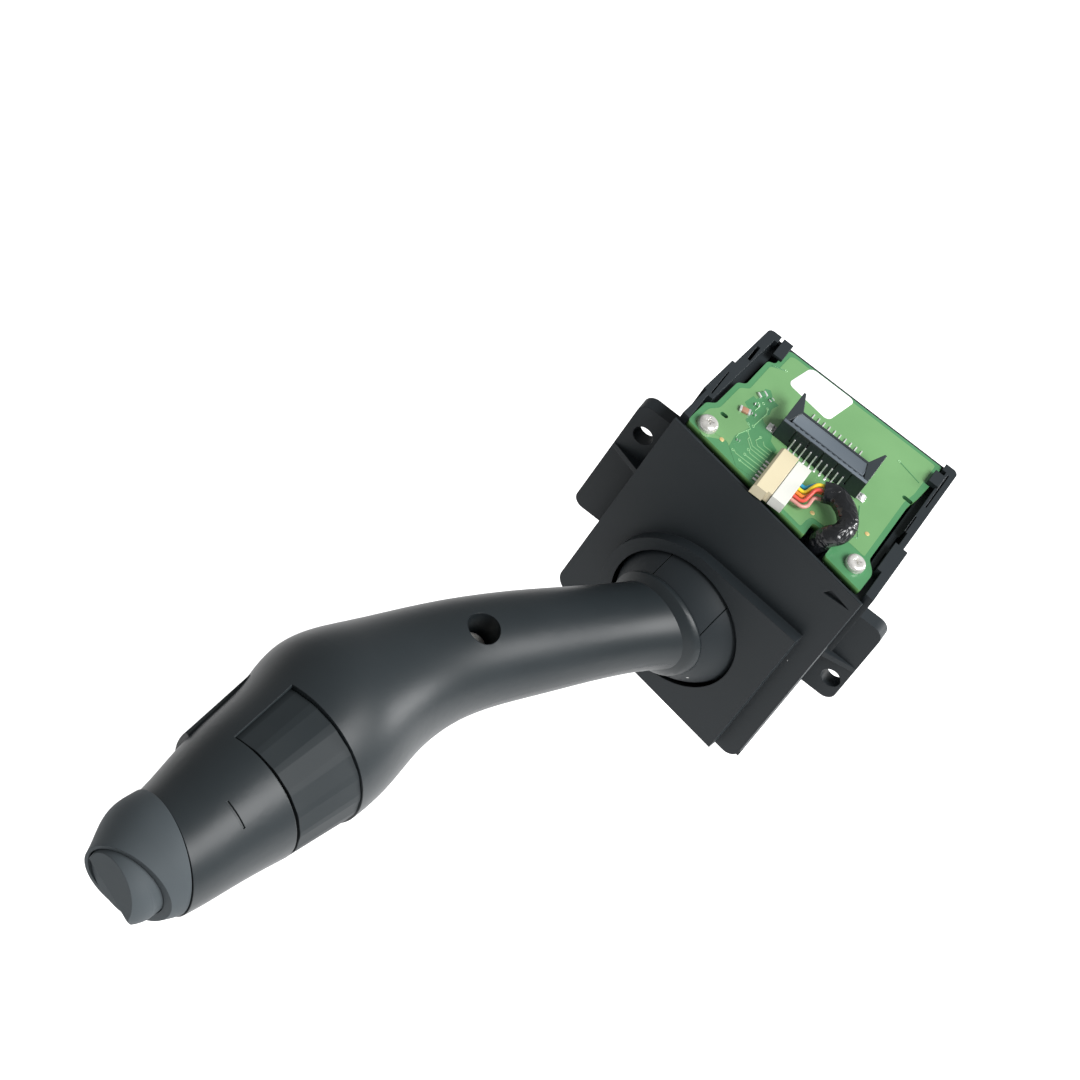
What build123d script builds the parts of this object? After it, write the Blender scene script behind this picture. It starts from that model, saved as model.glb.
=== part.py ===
from build123d import *
import os
from math import asin, cos, degrees, hypot, pi, radians, sin, sqrt, tan

# Combination stalk switch: a two-axis gimbal module with a curved hand lever.
# Millimetres. +X runs to the right across the module, +Y to its rear, +Z up, along the board's normal.
# The sizes below are measured from the centre of the dome's opening, on the raised face of the front plate.
# The finished part is then moved: its origin is midway between the mounting holes, on the ears' rear faces.

os.makedirs("parts", exist_ok=True)

# Fits and clearances
pin_clearance = 0.05
part_gap = 0.15
seam_gap = 0.3
far = 90.0

# Mounting ears
bolt_span_x = 57.0
bolt_span_z = 20.8
bolt_hole_radius = 2.1
bolt_centre_x = 2.65
bolt_centre_z = 12.1
ear_front_y = 11.8
ear_thickness = 3.2
ear_corner_radius = 2.4
ear_edge_margins = {-1: 3.8, 1: 2.8}
ear_tops = {-1: 7.0, 1: 18.0}
ear_bottoms = {-1: 25.5, 1: 5.3}
ear_rib_places = {-1: -7.1, 1: 4.9}
ear_root_x = 20.0
ear_rib_thickness = 1.2
ear_rib_depth = 3.0

# Front plate, in its own frame: turned about Z from the module behind it
plate_skew = 10.5
plate_left = -23.7
plate_right = 26.0
plate_bottom = -18.6
plate_top = 36.0
plate_thickness = 1.6
plate_corner_radius = 3.0
plate_top_bevel = 1.0
plateau_height = 2.5
plateau_radius = 17.4
plateau_right = 21.2
plateau_corner_z = 19.3
plateau_bottom = -18.2
wedge_notch = ((19.0, 31.3), (20.0, 33.3), (25.0, 32.8))
wedge_notch_depth = 0.6
clip_tab_length = 7.0
clip_tab_width = 5.0
clip_tab_root = 0.5
clip_tab_thickness = 1.4
clip_tab_heights = (-10.0, 8.0)

# Gimbal
dome_radius = 16.2
dome_wall = 2.0
dome_clearance = 0.9
gimbal_depth = 8.65
band_reach = {-1: 7.75, 1: 6.8}
band_end_y = -5.8
bridge_inner_z = 10.5
bridge_thickness = 2.8
bridge_front_y = -3.0
bridge_rear_y = 4.5
cap_rear_y = 2.0
pivot_pin_radius = 1.5
tilt_pin_radius = 1.5
tilt_pin_reach = 10.8
hub_radius = 4.6
web_half_width = 3.0
web_half_height = 7.0
tail_radius = 4.2
tail_length = 13.0
tail_bore_start = 5.5
plunger_radius = 2.4
plunger_reach = 15.5
plunger_length = 6.5
detent_gap = 0.35
detent_block_size = 15.0
detent_block_wall = 2.0
detent_face_thickness = 2.2

# Rear housing
housing_front_left_x = -23.0
housing_rear_left_x = -19.3
housing_right_x = 26.4
housing_rear_y = 41.8
housing_corner_radius = 1.2
housing_wall = 2.0
wall_overlap = 0.2
housing_rear_lip = 0.8
rear_lip_drop = 0.45
rear_lip_span = (-16.5, 23.5)
housing_top = 37.2
side_lug_height = 1.0
side_lug_bottom = 20.0
right_lug_end = 15.4
left_lug_span = (17.2, 28.0)
left_lug_height = 0.65
front_pocket_ends = {-1: 16.2, 1: 6.9}
front_pocket_depth = 1.1
thin_slots = ((24.55, 24.8, 19.6, 24.8), (24.1, 24.35, 8.2, 14.1), (25.0, 25.25, 28.4, 39.4),
              (-20.45, -20.2, 17.2, 24.8))
wide_slots = ((24.2, 25.15, 15.6, 19.6), (-19.15, -18.5, 30.9, 35.6))
slot_depth = 3.5
left_clip = (-15.9, -13.7, 36.6)
right_clip = (22.5, 34.4, 38.0)
clip_height = 0.6
clip_root = 0.4
shelf_bottom = 16.6
shelf_thickness = 2.5
ledge_width = 1.5
ledge_height = 1.5
cover_thickness = 2.0
cover_post_radius = 3.0
cover_post_height = 9.0
cover_post_web = 2.0
cover_head_sink = 1.0
cover_head_stand = 0.4
cover_screw_places = (-14.0, 20.4)
cover_screw_y = 36.4

# Circuit board and what it carries
board_top = 36.5
board_thickness = 1.6
board_gap = 0.3
board_rear_gap = 0.15
board_left_side = ((-20.6, 9.7), (-20.1, 15.1), (-18.5, 16.6), (-17.8, 24.8), (-16.3, 25.9), (-15.8, 34.7),
                   (-14.3, 35.4), (-14.2, 39.8))
board_rear_corners = (-13.4, 23.2)
board_right_side = ((23.2, 38.4), (23.5, 36.0), (23.0, 30.0), (22.3, 26.4), (22.3, 8.3), (23.9, 6.4), (24.4, 5.2))
peg_slot_place = (-15.9, 15.3)
peg_slot_size = (1.7, 1.0)
side_notch_place = (21.5, 27.7)
side_notch_size = (2.4, 1.0)
board_screw_places = ((-17.2, 10.1), (20.6, 4.5))
board_screw_head_radius = 2.05
board_screw_head_height = 1.5
board_screw_shank_radius = 1.0
board_screw_length = 7.0
board_screw_rounding = 0.7
board_screw_turn = 25.0
boss_radius = 3.0
lead_notch_x = 12.4
lead_notch_width = 5.4
lead_notch_depth = 4.7
header_left = -6.5
header_right = 13.3
header_front = 19.0
header_depth = 5.3
header_height = 4.8
header_wall = 0.9
header_lid_drop = 1.3
header_grooves = 5
header_groove_pitch = 3.3
header_groove_width = 0.3
header_groove_start = 1.2
latch_length = 4.4
latch_width = 1.1
latch_height = 1.6
latch_root = 1.2
pin_pitch = 1.27
pins_per_row = 10
pin_width = 0.4
pin_thickness = 0.25
front_pin_reach = 1.1
rear_pin_reach = 6.4
tab_width = 1.7
tab_length = 2.0
tab_thickness = 0.3
tab_setback = 0.2
tab_post_width = 1.0
tab_post_height = 1.0
socket_left = -3.5
socket_length = 3.9
socket_front = 2.9
socket_span = 12.6
socket_height = 2.6
socket_pin_count = 6
socket_pin_pitch = 1.15
socket_pin_reach = 0.9
socket_bevel = 0.5
socket_mouth_depth = 1.6
socket_wall = 1.0
socket_floor = 0.3
socket_step = 1.0
plug_length = 3.2
plug_height = 2.1
plug_inset = 0.3
chip_height = 0.7
chips = ((-13.2, 19.4, 20, 2.0), (-12.4, 25.4, -15, 2.2), (-9.4, 22.6, 60, 1.4), (5.4, 16.6, 0, 1.2),
         (-11.2, 28.2, 0, 1.2))

# Lead from the plug down through the board
wire_radius = 0.38
wire_lead_outs = (1.0, 1.5, 1.9, 2.3, 3.4)
wire_places_in_sleeve = ((1.3, 0.1), (0.45, 1.1), (0.2, -0.6), (-0.5, 0.85), (-1.15, -0.9))
sleeve_radius = 2.1
sleeve_bottom = 17.0

# Stalk, in its own plane, tilted down towards the tip
stalk_tilt = 8.0
arm_wall = 2.2
arm_start_clearance = 0.3
neck_radius = 5.4
neck_length = 30.0
arm_root_turn = 37.0
# Each arm section: its centre in the stalk's plane, its radius and its turn
arm_sections = ((0.2, -0.2, 9.7, 37.0), (-2.5, -3.8, 8.95, 37.0), (-8.1, -10.9, 8.85, 37.0),
                (-18.9, -25.0, 10.1, 37.0), (-28.9, -39.65, 11.3, 29.5), (-35.6, -54.4, 14.0, 19.5),
                (-38.9, -65.75, 16.6, 12.5))
screw_place = (-26.8, -36.1)
screw_recess_radius = 3.35
screw_recess_floor = 2.4
screw_recess_floor_thickness = 1.8
screw_head_radius = 2.8
screw_head_height = 1.9
screw_head_rounding = 0.8
cross_arm_width = 0.5
cross_depth = 0.8
screw_shank_radius = 1.25
screw_length = 8.0
boss_wall = 1.4
boss_sink = 0.3
screw_turn = 30.0

# Knob, along its own axis from the start of the twist ring
knob_turn = 11.0
knob_origin = (-39.2, -75.9)
# Each knob section: its place along the axis, its radius and its shift to the spine's side
knob_sections = ((0.0, 15.9, -0.5), (14.5, 14.2, -0.6), (26.0, 12.4, -0.5), (34.0, 11.55, -0.55), (42.0, 10.3, -0.7))
cap_sections = ((30.0, 12.0, -0.7), (34.0, 11.95, -0.9), (37.5, 11.6, -1.2), (41.0, 10.4, -1.2), (44.6, 8.8, -1.1),
                (46.8, 8.0, -1.0))
window_start = -0.5
ring_start = -0.3
ring_end = 14.2
ring_start_radius = 15.2
ring_end_radius = 13.75
ring_facets = 18
ring_wall = 2.0
ring_crest = 0.12
ring_pocket_depth = 5.1
barrel_start = 15.0
cap_seam_station = 35.5
cap_seam_tilt = 18.0
cap_seam_gap = 0.3
spine_half_angle = 59.0
spine_clearance = 0.35
core_radius = 7.0
core_wall = 1.7
core_start = -17.0
core_end = 33.0
bulkhead_thickness = 2.0
bulkhead_places = (-13.0, 17.0, 28.5)
indicator_station = 25.0
indicator_width = 0.5
indicator_depth = 0.35
indicator_angles = (58.0, 85.0)
cap_end_station = 44.0
cap_end_tilt = 12.0
end_cap_floor = 38.0
spring_room_radius = 4.2
spigot_start = 25.0
button_start = 41.6
button_face = 45.0
button_travel = 1.0
button_radius = 7.7
button_offset = -0.8
button_sections = ((45.0, 7.7), (46.4, 7.35), (49.0, 6.0), (50.6, 4.6))
button_stem_start = 28.0
spring_coils = 2
roof_start = (-8.1, 46.4)
roof_rise = 12.6
roof_front_fall = 6.0
roof_rear_fall = 32.0
button_stem_radius = 2.5
spring_wire_radius = 0.35
contact_board_radius = 10.0
contact_board_thickness = 1.2
contact_board_place = 20.5
finger_rest_length = 18.0
finger_rest_start = -1.6
finger_rest_radii = (16.85, 15.55)
finger_rest_sector = ((0, 0), (-40, 9), (-40, -22))

# Places that follow from the sizes above
slab_back = plateau_height + plate_thickness
board_bottom = board_top - board_thickness
shelf_top = shelf_bottom + shelf_thickness
header_pin_middle = (header_left + header_right) / 2
mount_y = ear_front_y + ear_thickness
plate_place = Location((0, 0, 0), (0, 0, -plate_skew))
gimbal_place = plate_place * Location((0, gimbal_depth, 0))
stalk_place = Location((0, 0, 0), (stalk_tilt, 0, 0))
home = Location((-bolt_centre_x, -mount_y, -bolt_centre_z))


def heading(turn):
    """Direction in the stalk's plane, turned from -Y towards -X."""
    return (-sin(radians(turn)), -cos(radians(turn)), 0)


def across(turn):
    """Direction in the stalk's plane square to heading(turn), on its +X side."""
    return (cos(radians(turn)), -sin(radians(turn)), 0)


knob_frame = Plane(origin=(*knob_origin, 0), x_dir=across(knob_turn), z_dir=heading(knob_turn))
knob_in_stalk = knob_frame.location
knob_place = stalk_place * knob_in_stalk


def block(x0, x1, y0, y1, z0, z1):
    """Box between two corners."""
    return Pos((x0 + x1) / 2, (y0 + y1) / 2, (z0 + z1) / 2) * Box(x1 - x0, y1 - y0, z1 - z0)


def rod(radius, start, end):
    """Cylinder along Z from start to end."""
    return Pos(0, 0, (start + end) / 2) * Cylinder(radius, end - start)


def cone(start_radius, end_radius, start, end):
    """Cone along Z from start to end."""
    return Pos(0, 0, (start + end) / 2) * Cone(start_radius, end_radius, end - start)


def prism(points, z0, z1):
    """Polygon in XY, raised from z0 to z1."""
    face = make_face(Polyline(*points, close=True))
    return Pos(0, 0, z0) * extrude(face, z1 - z0, dir=(0, 0, 1))


def save(name, shape):
    """Write one named piece in the finished part's frame."""
    solids = [home * solid for solid in shape.solids()]
    export_step(Compound(children=solids) if len(solids) > 1 else solids[0], f"parts/{name}.step")


# Front plate

def behind_plate(extra):
    """Everything in front of the plate's rear face, less extra, as a cutter for what sits behind it."""
    return plate_place * block(-far, far, -far, slab_back + extra, -far, far)


def plateau_outline():
    """Raised area round the dome: an arc about the opening that runs into a straight ledge."""
    reach = hypot(plateau_right, plateau_corner_z)
    corner_angle = degrees(asin(plateau_corner_z / reach))
    tangent_angle = corner_angle + degrees(asin(sqrt(1 - (plateau_radius / reach) ** 2)))
    touch = (plateau_radius * cos(radians(tangent_angle)), plateau_radius * sin(radians(tangent_angle)))
    ledge = [(0, 0), touch, (plateau_right, plateau_corner_z), (plateau_right, plateau_bottom),
             (-plateau_radius / 2, plateau_bottom), (-plateau_radius / 2, 0)]
    return Circle(plateau_radius) + make_face(Polyline(*ledge, close=True))


def plate_slab():
    """Flat base of the front plate with rounded lower corners."""
    slab = block(plate_left, plate_right, plateau_height, slab_back, plate_bottom, plate_top)
    lower = slab.edges().filter_by(Axis.Y).sort_by(Axis.Z)[:2]
    slab = fillet(lower, plate_corner_radius)
    rear_top = slab.edges().filter_by(Axis.X).group_by(Axis.Z)[-1].sort_by(Axis.Y)[-1]
    return chamfer(rear_top, plate_top_bevel)


def front_plate():
    """Plate with the raised plateau, the dome's spherical seat and four tabs that grip the housing."""
    plane = Plane(origin=(0, slab_back, 0), x_dir=(1, 0, 0), z_dir=(0, -1, 0))
    plateau = extrude(plane * plateau_outline(), slab_back)
    plate = plate_slab() + plateau
    notch = make_face(Polyline(*wedge_notch, close=True))
    plate -= extrude(plane.offset(slab_back - plateau_height - wedge_notch_depth) * notch, wedge_notch_depth * 2)
    plate -= Pos(0, gimbal_depth, 0) * Sphere(dome_radius + dome_clearance)
    plate = plate_place * plate
    for height in clip_tab_heights:
        for side in (-1, 1):
            plate += clip_tab(side, height)
    return plate


def inner_wall_x(side, y):
    """Inner face of a side wall of the housing at depth y."""
    if side > 0:
        return housing_right_x - housing_wall
    slope = (housing_rear_left_x - housing_front_left_x) / housing_rear_y
    return housing_front_left_x + slope * y + housing_wall


def clip_tab(side, height):
    """Tongue on the plate's rear face that lies against a side wall of the housing."""
    root_y = plate_back_y(inner_wall_x(side, 0)) - clip_tab_root
    tip_y = root_y + clip_tab_length
    nearest_wall = min(abs(inner_wall_x(side, root_y)), abs(inner_wall_x(side, tip_y)))
    outer = side * (nearest_wall - part_gap)
    low, high = sorted((outer, outer - side * clip_tab_thickness))
    half = clip_tab_width / 2
    tab = block(low, high, root_y - clip_tab_thickness, tip_y, height - half, height + half)
    return tab - plate_place * block(-far, far, -far, slab_back - part_gap, -far, far)


def plate_back_y(x):
    """Depth of the plate's rear face at x, in the module's frame."""
    return slab_back / cos(radians(plate_skew)) - x * tan(radians(plate_skew))


# Rear housing and its cover

def housing_profile(inset, rear_inset):
    """Plan of the housing, pulled in by a wall; its front is cut off by the plate later."""
    left_front = housing_front_left_x + inset
    left_rear = housing_rear_left_x + inset
    right = housing_right_x - inset
    rear = housing_rear_y - rear_inset
    return [(left_front, 0), (left_front, -15), (right, -15), (right, rear), (left_rear, rear)]


def mounting_ear(side):
    """Ear plate with its bolt hole, and the gusset that braces it against the side wall."""
    hole_x = bolt_centre_x + side * bolt_span_x / 2
    hole_z = bolt_centre_z - side * bolt_span_z / 2
    outer = hole_x + side * ear_edge_margins[side]
    root = side * ear_root_x
    low, high = sorted((root, outer))
    ear = block(low, high, ear_front_y, mount_y, hole_z - ear_bottoms[side], hole_z + ear_tops[side])
    corners = ear.edges().filter_by(Axis.Y).group_by(Axis.X)[-1 if side > 0 else 0]
    ear = fillet(corners, ear_corner_radius)
    wall_x = root + side
    rib_corners = ((wall_x, ear_front_y), (outer, ear_front_y), (wall_x, ear_front_y - ear_rib_depth))
    rib_face = make_face(Polyline(*rib_corners, close=True))
    ear += Pos(0, 0, hole_z + ear_rib_places[side]) * extrude(rib_face, ear_rib_thickness)
    hole = Pos(hole_x, mount_y, hole_z) * Rot(90, 0, 0) * Cylinder(bolt_hole_radius, ear_thickness * 4)
    return ear - hole


def outer_wall_x(y):
    """Outer face of the left wall of the housing at depth y."""
    return inner_wall_x(-1, y) - housing_wall


def side_wall_details(housing):
    """Lugs outside the side walls, and the pockets and slots in their top faces."""
    top = housing_top
    start, end = left_lug_span
    lug = [(outer_wall_x(start) - left_lug_height, start), (outer_wall_x(end) - left_lug_height, end),
           (outer_wall_x(end) + 1, end), (outer_wall_x(start) + 1, start)]
    housing += prism(lug, side_lug_bottom, top)
    right = housing_right_x
    housing += block(right - 1, right + side_lug_height, -5, right_lug_end, side_lug_bottom, top)
    for side in (-1, 1):
        end = front_pocket_ends[side]
        inner = inner_wall_x(side, end)
        low, high = sorted((inner - side, inner + side * front_pocket_depth))
        housing -= block(low, high, -5, end, board_bottom, top + 1)
    for x0, x1, y0, y1 in thin_slots + wide_slots:
        housing -= block(x0, x1, y0, y1, top - slot_depth, top + 1)
    return housing


def board_clips():
    """Hooks that hold the board's rear edge down, on posts behind and beside it."""
    low = board_top + part_gap
    top = housing_top + clip_height
    lip_front = housing_rear_y - housing_rear_lip
    left_start, left_end, front = left_clip
    left = block(left_start, left_end, front, housing_rear_y, low, housing_top)
    left += block(left_start, left_end, lip_front, housing_rear_y, board_bottom, housing_top)
    reach, start, end = right_clip
    right = block(reach, housing_right_x - housing_wall + clip_root, start, end, low, top)
    return left + right


def rear_housing():
    """Open-topped box with the board's ledge, the pivot shelf and the ears."""
    outer = prism(housing_profile(0, 0), plate_bottom, housing_top)
    outer = fillet(outer.edges().filter_by(Axis.Z).group_by(Axis.Y)[-1], housing_corner_radius)
    outer -= prism(housing_profile(housing_wall, housing_wall), plate_bottom - 1, housing_top + 1)
    left, right = rear_lip_span
    lip_front = housing_rear_y - housing_rear_lip
    above = housing_top + 1
    outer -= block(left, right, housing_rear_y - housing_wall - 1, lip_front, board_bottom, above)
    outer -= block(left, right, lip_front - 1, housing_rear_y + 1, board_top - rear_lip_drop, above)
    in_wall = housing_wall - wall_overlap
    ledge = prism(housing_profile(in_wall, in_wall), board_bottom - ledge_height, board_bottom)
    inset = housing_wall + ledge_width
    ledge -= prism(housing_profile(inset, inset), board_bottom - ledge_height - 1, board_bottom + 1)
    shelf = prism(housing_profile(in_wall, in_wall), shelf_bottom, shelf_top)
    lead_hole = rod(sleeve_radius + seam_gap, shelf_bottom - 1, shelf_top + 1)
    shelf -= Pos(lead_notch_x, sleeve_y(), 0) * lead_hole
    shelf -= gimbal_place * rod(pivot_pin_radius + pin_clearance, shelf_bottom - 1, shelf_top + 1)
    housing = outer + ledge + shelf
    for x, y in board_screw_places:
        housing += Pos(x, y, 0) * rod(boss_radius, shelf_top - 0.5, board_bottom)
    for x in cover_screw_places:
        post = Pos(x, cover_screw_y, 0) * rod(cover_post_radius, 0, cover_post_height)
        half = cover_post_web / 2
        post += block(x - half, x + half, cover_screw_y, housing_rear_y - 1.0, 0, cover_post_height)
        housing += Pos(0, 0, plate_bottom + cover_thickness) * post
    housing = side_wall_details(housing) + board_clips()
    for side in (-1, 1):
        housing += mounting_ear(side)
    for x, y in board_screw_places:
        bore = rod(board_screw_shank_radius + pin_clearance, board_bottom - board_screw_length, board_bottom + 1)
        housing -= Pos(x, y, 0) * bore
    for x in cover_screw_places:
        bore = rod(screw_shank_radius + pin_clearance, -1, screw_length)
        housing -= Pos(x, cover_screw_y, plate_bottom) * bore
    return housing - behind_plate(part_gap)


def sleeve_y():
    """Depth of the lead where it drops behind the plate."""
    return plate_back_y(lead_notch_x) + sleeve_radius / cos(radians(plate_skew)) + part_gap


def base_cover():
    """Floor of the housing, with the lower pivot hole."""
    inset = housing_wall + part_gap
    cover = prism(housing_profile(inset, inset), plate_bottom, plate_bottom + cover_thickness)
    cover -= gimbal_place * rod(pivot_pin_radius + pin_clearance, -far, 0)
    for x in cover_screw_places:
        place = Pos(x, cover_screw_y, plate_bottom)
        cover -= place * rod(screw_shank_radius + part_gap, -1, cover_thickness + 1)
        cover -= place * rod(screw_head_radius + part_gap, -1, cover_head_sink)
    return cover - behind_plate(part_gap)


def cover_screws():
    """Two screws that hold the cover up to its posts."""
    screws = Part()
    for x in cover_screw_places:
        place = Pos(x, cover_screw_y, plate_bottom)
        head = rod(screw_head_radius, -cover_head_stand, cover_head_sink)
        shank = rod(screw_shank_radius, cover_head_sink / 2, screw_length - 0.5)
        screws += place * (head + shank - cross_recess(-cover_head_stand, 1))
    return screws


def cross_recess(face, inward):
    """Cross recess cut into a screw head at height face, inwards along +Z or -Z."""
    arm = Box(screw_head_radius * 1.1, cross_arm_width, cross_depth * 2)
    return Pos(0, 0, face + inward * 0.2) * (arm + Rot(0, 0, 90) * arm)


# Circuit board and its parts

def board_outline():
    """Board plan: straight front edge along the plate, stepped sides round the clips."""
    def front(x):
        return plate_back_y(x) + board_gap

    notch_left = lead_notch_x - lead_notch_width / 2
    notch_right = lead_notch_x + lead_notch_width / 2
    notch_back = front(lead_notch_x) + lead_notch_depth
    rear = housing_rear_y - housing_rear_lip - board_rear_gap
    left_front, right_front = board_left_side[0][0], board_right_side[-1][0]
    outline = [(left_front, front(left_front)), *board_left_side, (board_rear_corners[0], rear)]
    outline += [(board_rear_corners[1], rear), *board_right_side, (right_front, front(right_front))]
    return outline + [(notch_right, front(notch_right)), (notch_right, notch_back), (notch_left, notch_back),
                      (notch_left, front(notch_left))]


def circuit_board():
    """Board with screw holes, the locating slot and the side notch."""
    board = prism(board_outline(), board_bottom, board_top)
    for x, y in board_screw_places:
        board -= Pos(x, y, board_top) * Cylinder(board_screw_shank_radius + part_gap, board_thickness * 3)
    deep = board_thickness * 2
    peg_slot = Pos(*peg_slot_place, board_top) * extrude(SlotOverall(*peg_slot_size), deep, both=True)
    side_notch = Pos(*side_notch_place, board_top) * extrude(SlotOverall(*side_notch_size), deep, both=True)
    return board - peg_slot - side_notch


def board_screws():
    """Two pan-head screws with cross recesses."""
    head = rod(board_screw_head_radius, 0, board_screw_head_height)
    head = fillet(head.edges().group_by(Axis.Z)[-1], board_screw_rounding)
    shank = rod(board_screw_shank_radius, -board_screw_length, 0.1)
    arm = Box(board_screw_head_radius * 1.2, cross_arm_width, cross_depth * 2)
    recess = Pos(0, 0, board_screw_head_height) * (arm + Rot(0, 0, 90) * arm)
    screw = Rot(0, 0, board_screw_turn) * (head + shank - recess)
    screws = Part()
    for x, y in board_screw_places:
        screws += Pos(x, y, board_top) * screw
    return screws


def header_body():
    """Shrouded connector with a sunk lid, a grooved front wall and two latch arms."""
    rear = header_front + header_depth
    top = board_top + header_height
    body = block(header_left, header_right, header_front, rear, board_top, top)
    body -= block(header_left + header_wall, header_right - header_wall, header_front + header_wall,
                  rear - header_wall * 0.6, top - header_lid_drop, top + 1)
    root = header_front + latch_root
    tip = rear + latch_length
    for side, edge in ((-1, header_left), (1, header_right)):
        corners = ((edge, root), (edge, tip), (edge - side * latch_width * 0.4, tip),
                   (edge - side * latch_width * 2.0, rear - 0.2), (edge - side * latch_width, root))
        body += prism(corners, top - latch_height, top)
    half = header_groove_width / 2
    for index in range(header_grooves):
        x = header_pin_middle + (index - (header_grooves - 1) / 2) * header_groove_pitch
        body -= block(x - half, x + half, header_front - 1, header_front + header_groove_width,
                      board_top + header_groove_start, top + 1)
    return body


def pin_x(index):
    """Place of one contact along the header."""
    return header_pin_middle + (index - (pins_per_row - 1) / 2) * pin_pitch


def header_pins():
    """Two rows of soldered feet, short in front of the header and long behind it."""
    pins = Part()
    rear = header_front + header_depth
    top = board_top + pin_thickness
    for index in range(pins_per_row):
        x0 = pin_x(index) - pin_width / 2
        x1 = x0 + pin_width
        pins += block(x0, x1, header_front - front_pin_reach, header_front, board_top, top)
        pins += block(x0, x1, rear, rear + rear_pin_reach, board_top, top)
    return pins


def header_tabs():
    """Two plated hold-down tabs beside the header, each with a raised solder post."""
    tabs = Part()
    start = header_front + tab_setback
    for low in (header_left - tab_width, header_right):
        tabs += block(low, low + tab_width, start, start + tab_length, board_top, board_top + tab_thickness)
        middle_x = low + tab_width / 2
        middle_y = start + tab_length / 2
        half = tab_post_width / 2
        tabs += block(middle_x - half, middle_x + half, middle_y - half, middle_y + half,
                      board_top, board_top + tab_post_height)
    return tabs


def socket_middle():
    """Centre of the small connector across its length."""
    return socket_front + socket_span / 2


def lead_socket():
    """Side-entry connector body with an opening for the plug."""
    left = socket_left
    right = socket_left + socket_length
    rear = socket_front + socket_span
    top = board_top + socket_height
    body = block(left, right, socket_front, rear, board_top, top)
    body = chamfer(body.edges().filter_by(Axis.Y).group_by(Axis.Z)[-1].sort_by(Axis.X)[0], socket_bevel)
    body -= block(right - socket_mouth_depth, right + 1, socket_front + socket_wall, rear - socket_wall,
                  board_top + socket_floor, top - socket_floor)
    body -= block(right - socket_step, right + 1, socket_front - 1, socket_front + socket_step / 2,
                  board_top - 1, top + 1)
    return body


def socket_pins():
    """Six soldered feet on the socket's rear side."""
    pins = Part()
    for index in range(socket_pin_count):
        y = socket_middle() + (index - (socket_pin_count - 1) / 2) * socket_pin_pitch
        half = pin_width / 2
        pins += block(socket_left - socket_pin_reach, socket_left, y - half, y + half,
                      board_top, board_top + pin_thickness)
    return pins


def lead_plug():
    """Plug in the socket, wires leaving on its free side."""
    left = socket_left + socket_length - socket_mouth_depth + 0.1
    right = socket_left + socket_length + plug_length
    rear = socket_front + socket_span
    z0 = board_top + socket_floor + 0.1
    inset = socket_wall + part_gap
    tongue = block(left, right, socket_front + inset, rear - inset, z0, z0 + plug_height - 0.3)
    face = block(right - plug_length + part_gap, right, socket_front + plug_inset, rear - plug_inset,
                 board_top + 0.1, z0 + plug_height)
    return tongue + face


def small_parts():
    """Surface-mounted chips beside the header: each with its place, turn and length."""
    parts = Part()
    for x, y, turn, length in chips:
        chip = Box(length, length * 0.6, chip_height)
        parts += Pos(x, y, board_top + chip_height / 2) * Rot(0, 0, turn) * chip
    return parts


# Lead

def tube_along(points, radius):
    """Tube on straight runs joined by arcs as large as their two runs allow."""
    radii = []
    corners = [Vector(*point) for point in points]
    for before, corner, after in zip(corners, corners[1:], corners[2:]):
        turn = (corner - before).get_angle(after - corner)
        run = min((corner - before).length, (after - corner).length)
        radii.append(0.45 * run / tan(radians(turn / 2)))
    path = FilletPolyline(*points, radius=radii)
    section = Plane(origin=path @ 0, z_dir=path % 0) * Circle(radius)
    tube = sweep(section, path=path)
    straight = pi * radius * radius * path.length
    print("lead radii", [round(value, 1) for value in radii], "volume ratio", round(tube.volume / straight, 3))
    return tube


sleeve_mouth = (7.7, 11.9, 39.6)
sleeve_route = [sleeve_mouth, (10.1, 12.8, 40.2), (13.2, 11.0, 40.5), (15.3, 7.9, 40.4), (14.9, 4.9, 40.0),
                (13.3, sleeve_y() + 0.25, 38.4)]


def lead_sleeve():
    """Black sleeve round the wires: a loop over the board, then down behind the plate."""
    turn_down = (lead_notch_x, sleeve_y(), 34.2)
    drop = (lead_notch_x, sleeve_y(), sleeve_bottom)
    return tube_along(sleeve_route + [turn_down, drop], sleeve_radius)


def wire(index):
    """One wire from the plug into the sleeve; index counts from the rear."""
    plug_face = socket_left + socket_length + plug_length
    start = Vector(plug_face, socket_middle() + 2.2 - index * socket_pin_pitch, board_top + 1.4)
    way = (Vector(*sleeve_route[1]) - Vector(*sleeve_mouth)).normalized()
    aside = Vector(-way.Y, way.X, 0).normalized()
    upward = way.cross(aside)
    aside_offset, up_offset = wire_places_in_sleeve[index]
    mouth = Vector(*sleeve_mouth) + aside * aside_offset + upward * up_offset - way * 0.1
    lead_out = start + Vector(wire_lead_outs[index], 0, 0)
    before = mouth - way * 1.4
    return tube_along([tuple(start), tuple(lead_out), tuple(before), tuple(mouth)], wire_radius)


# Gimbal

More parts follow.
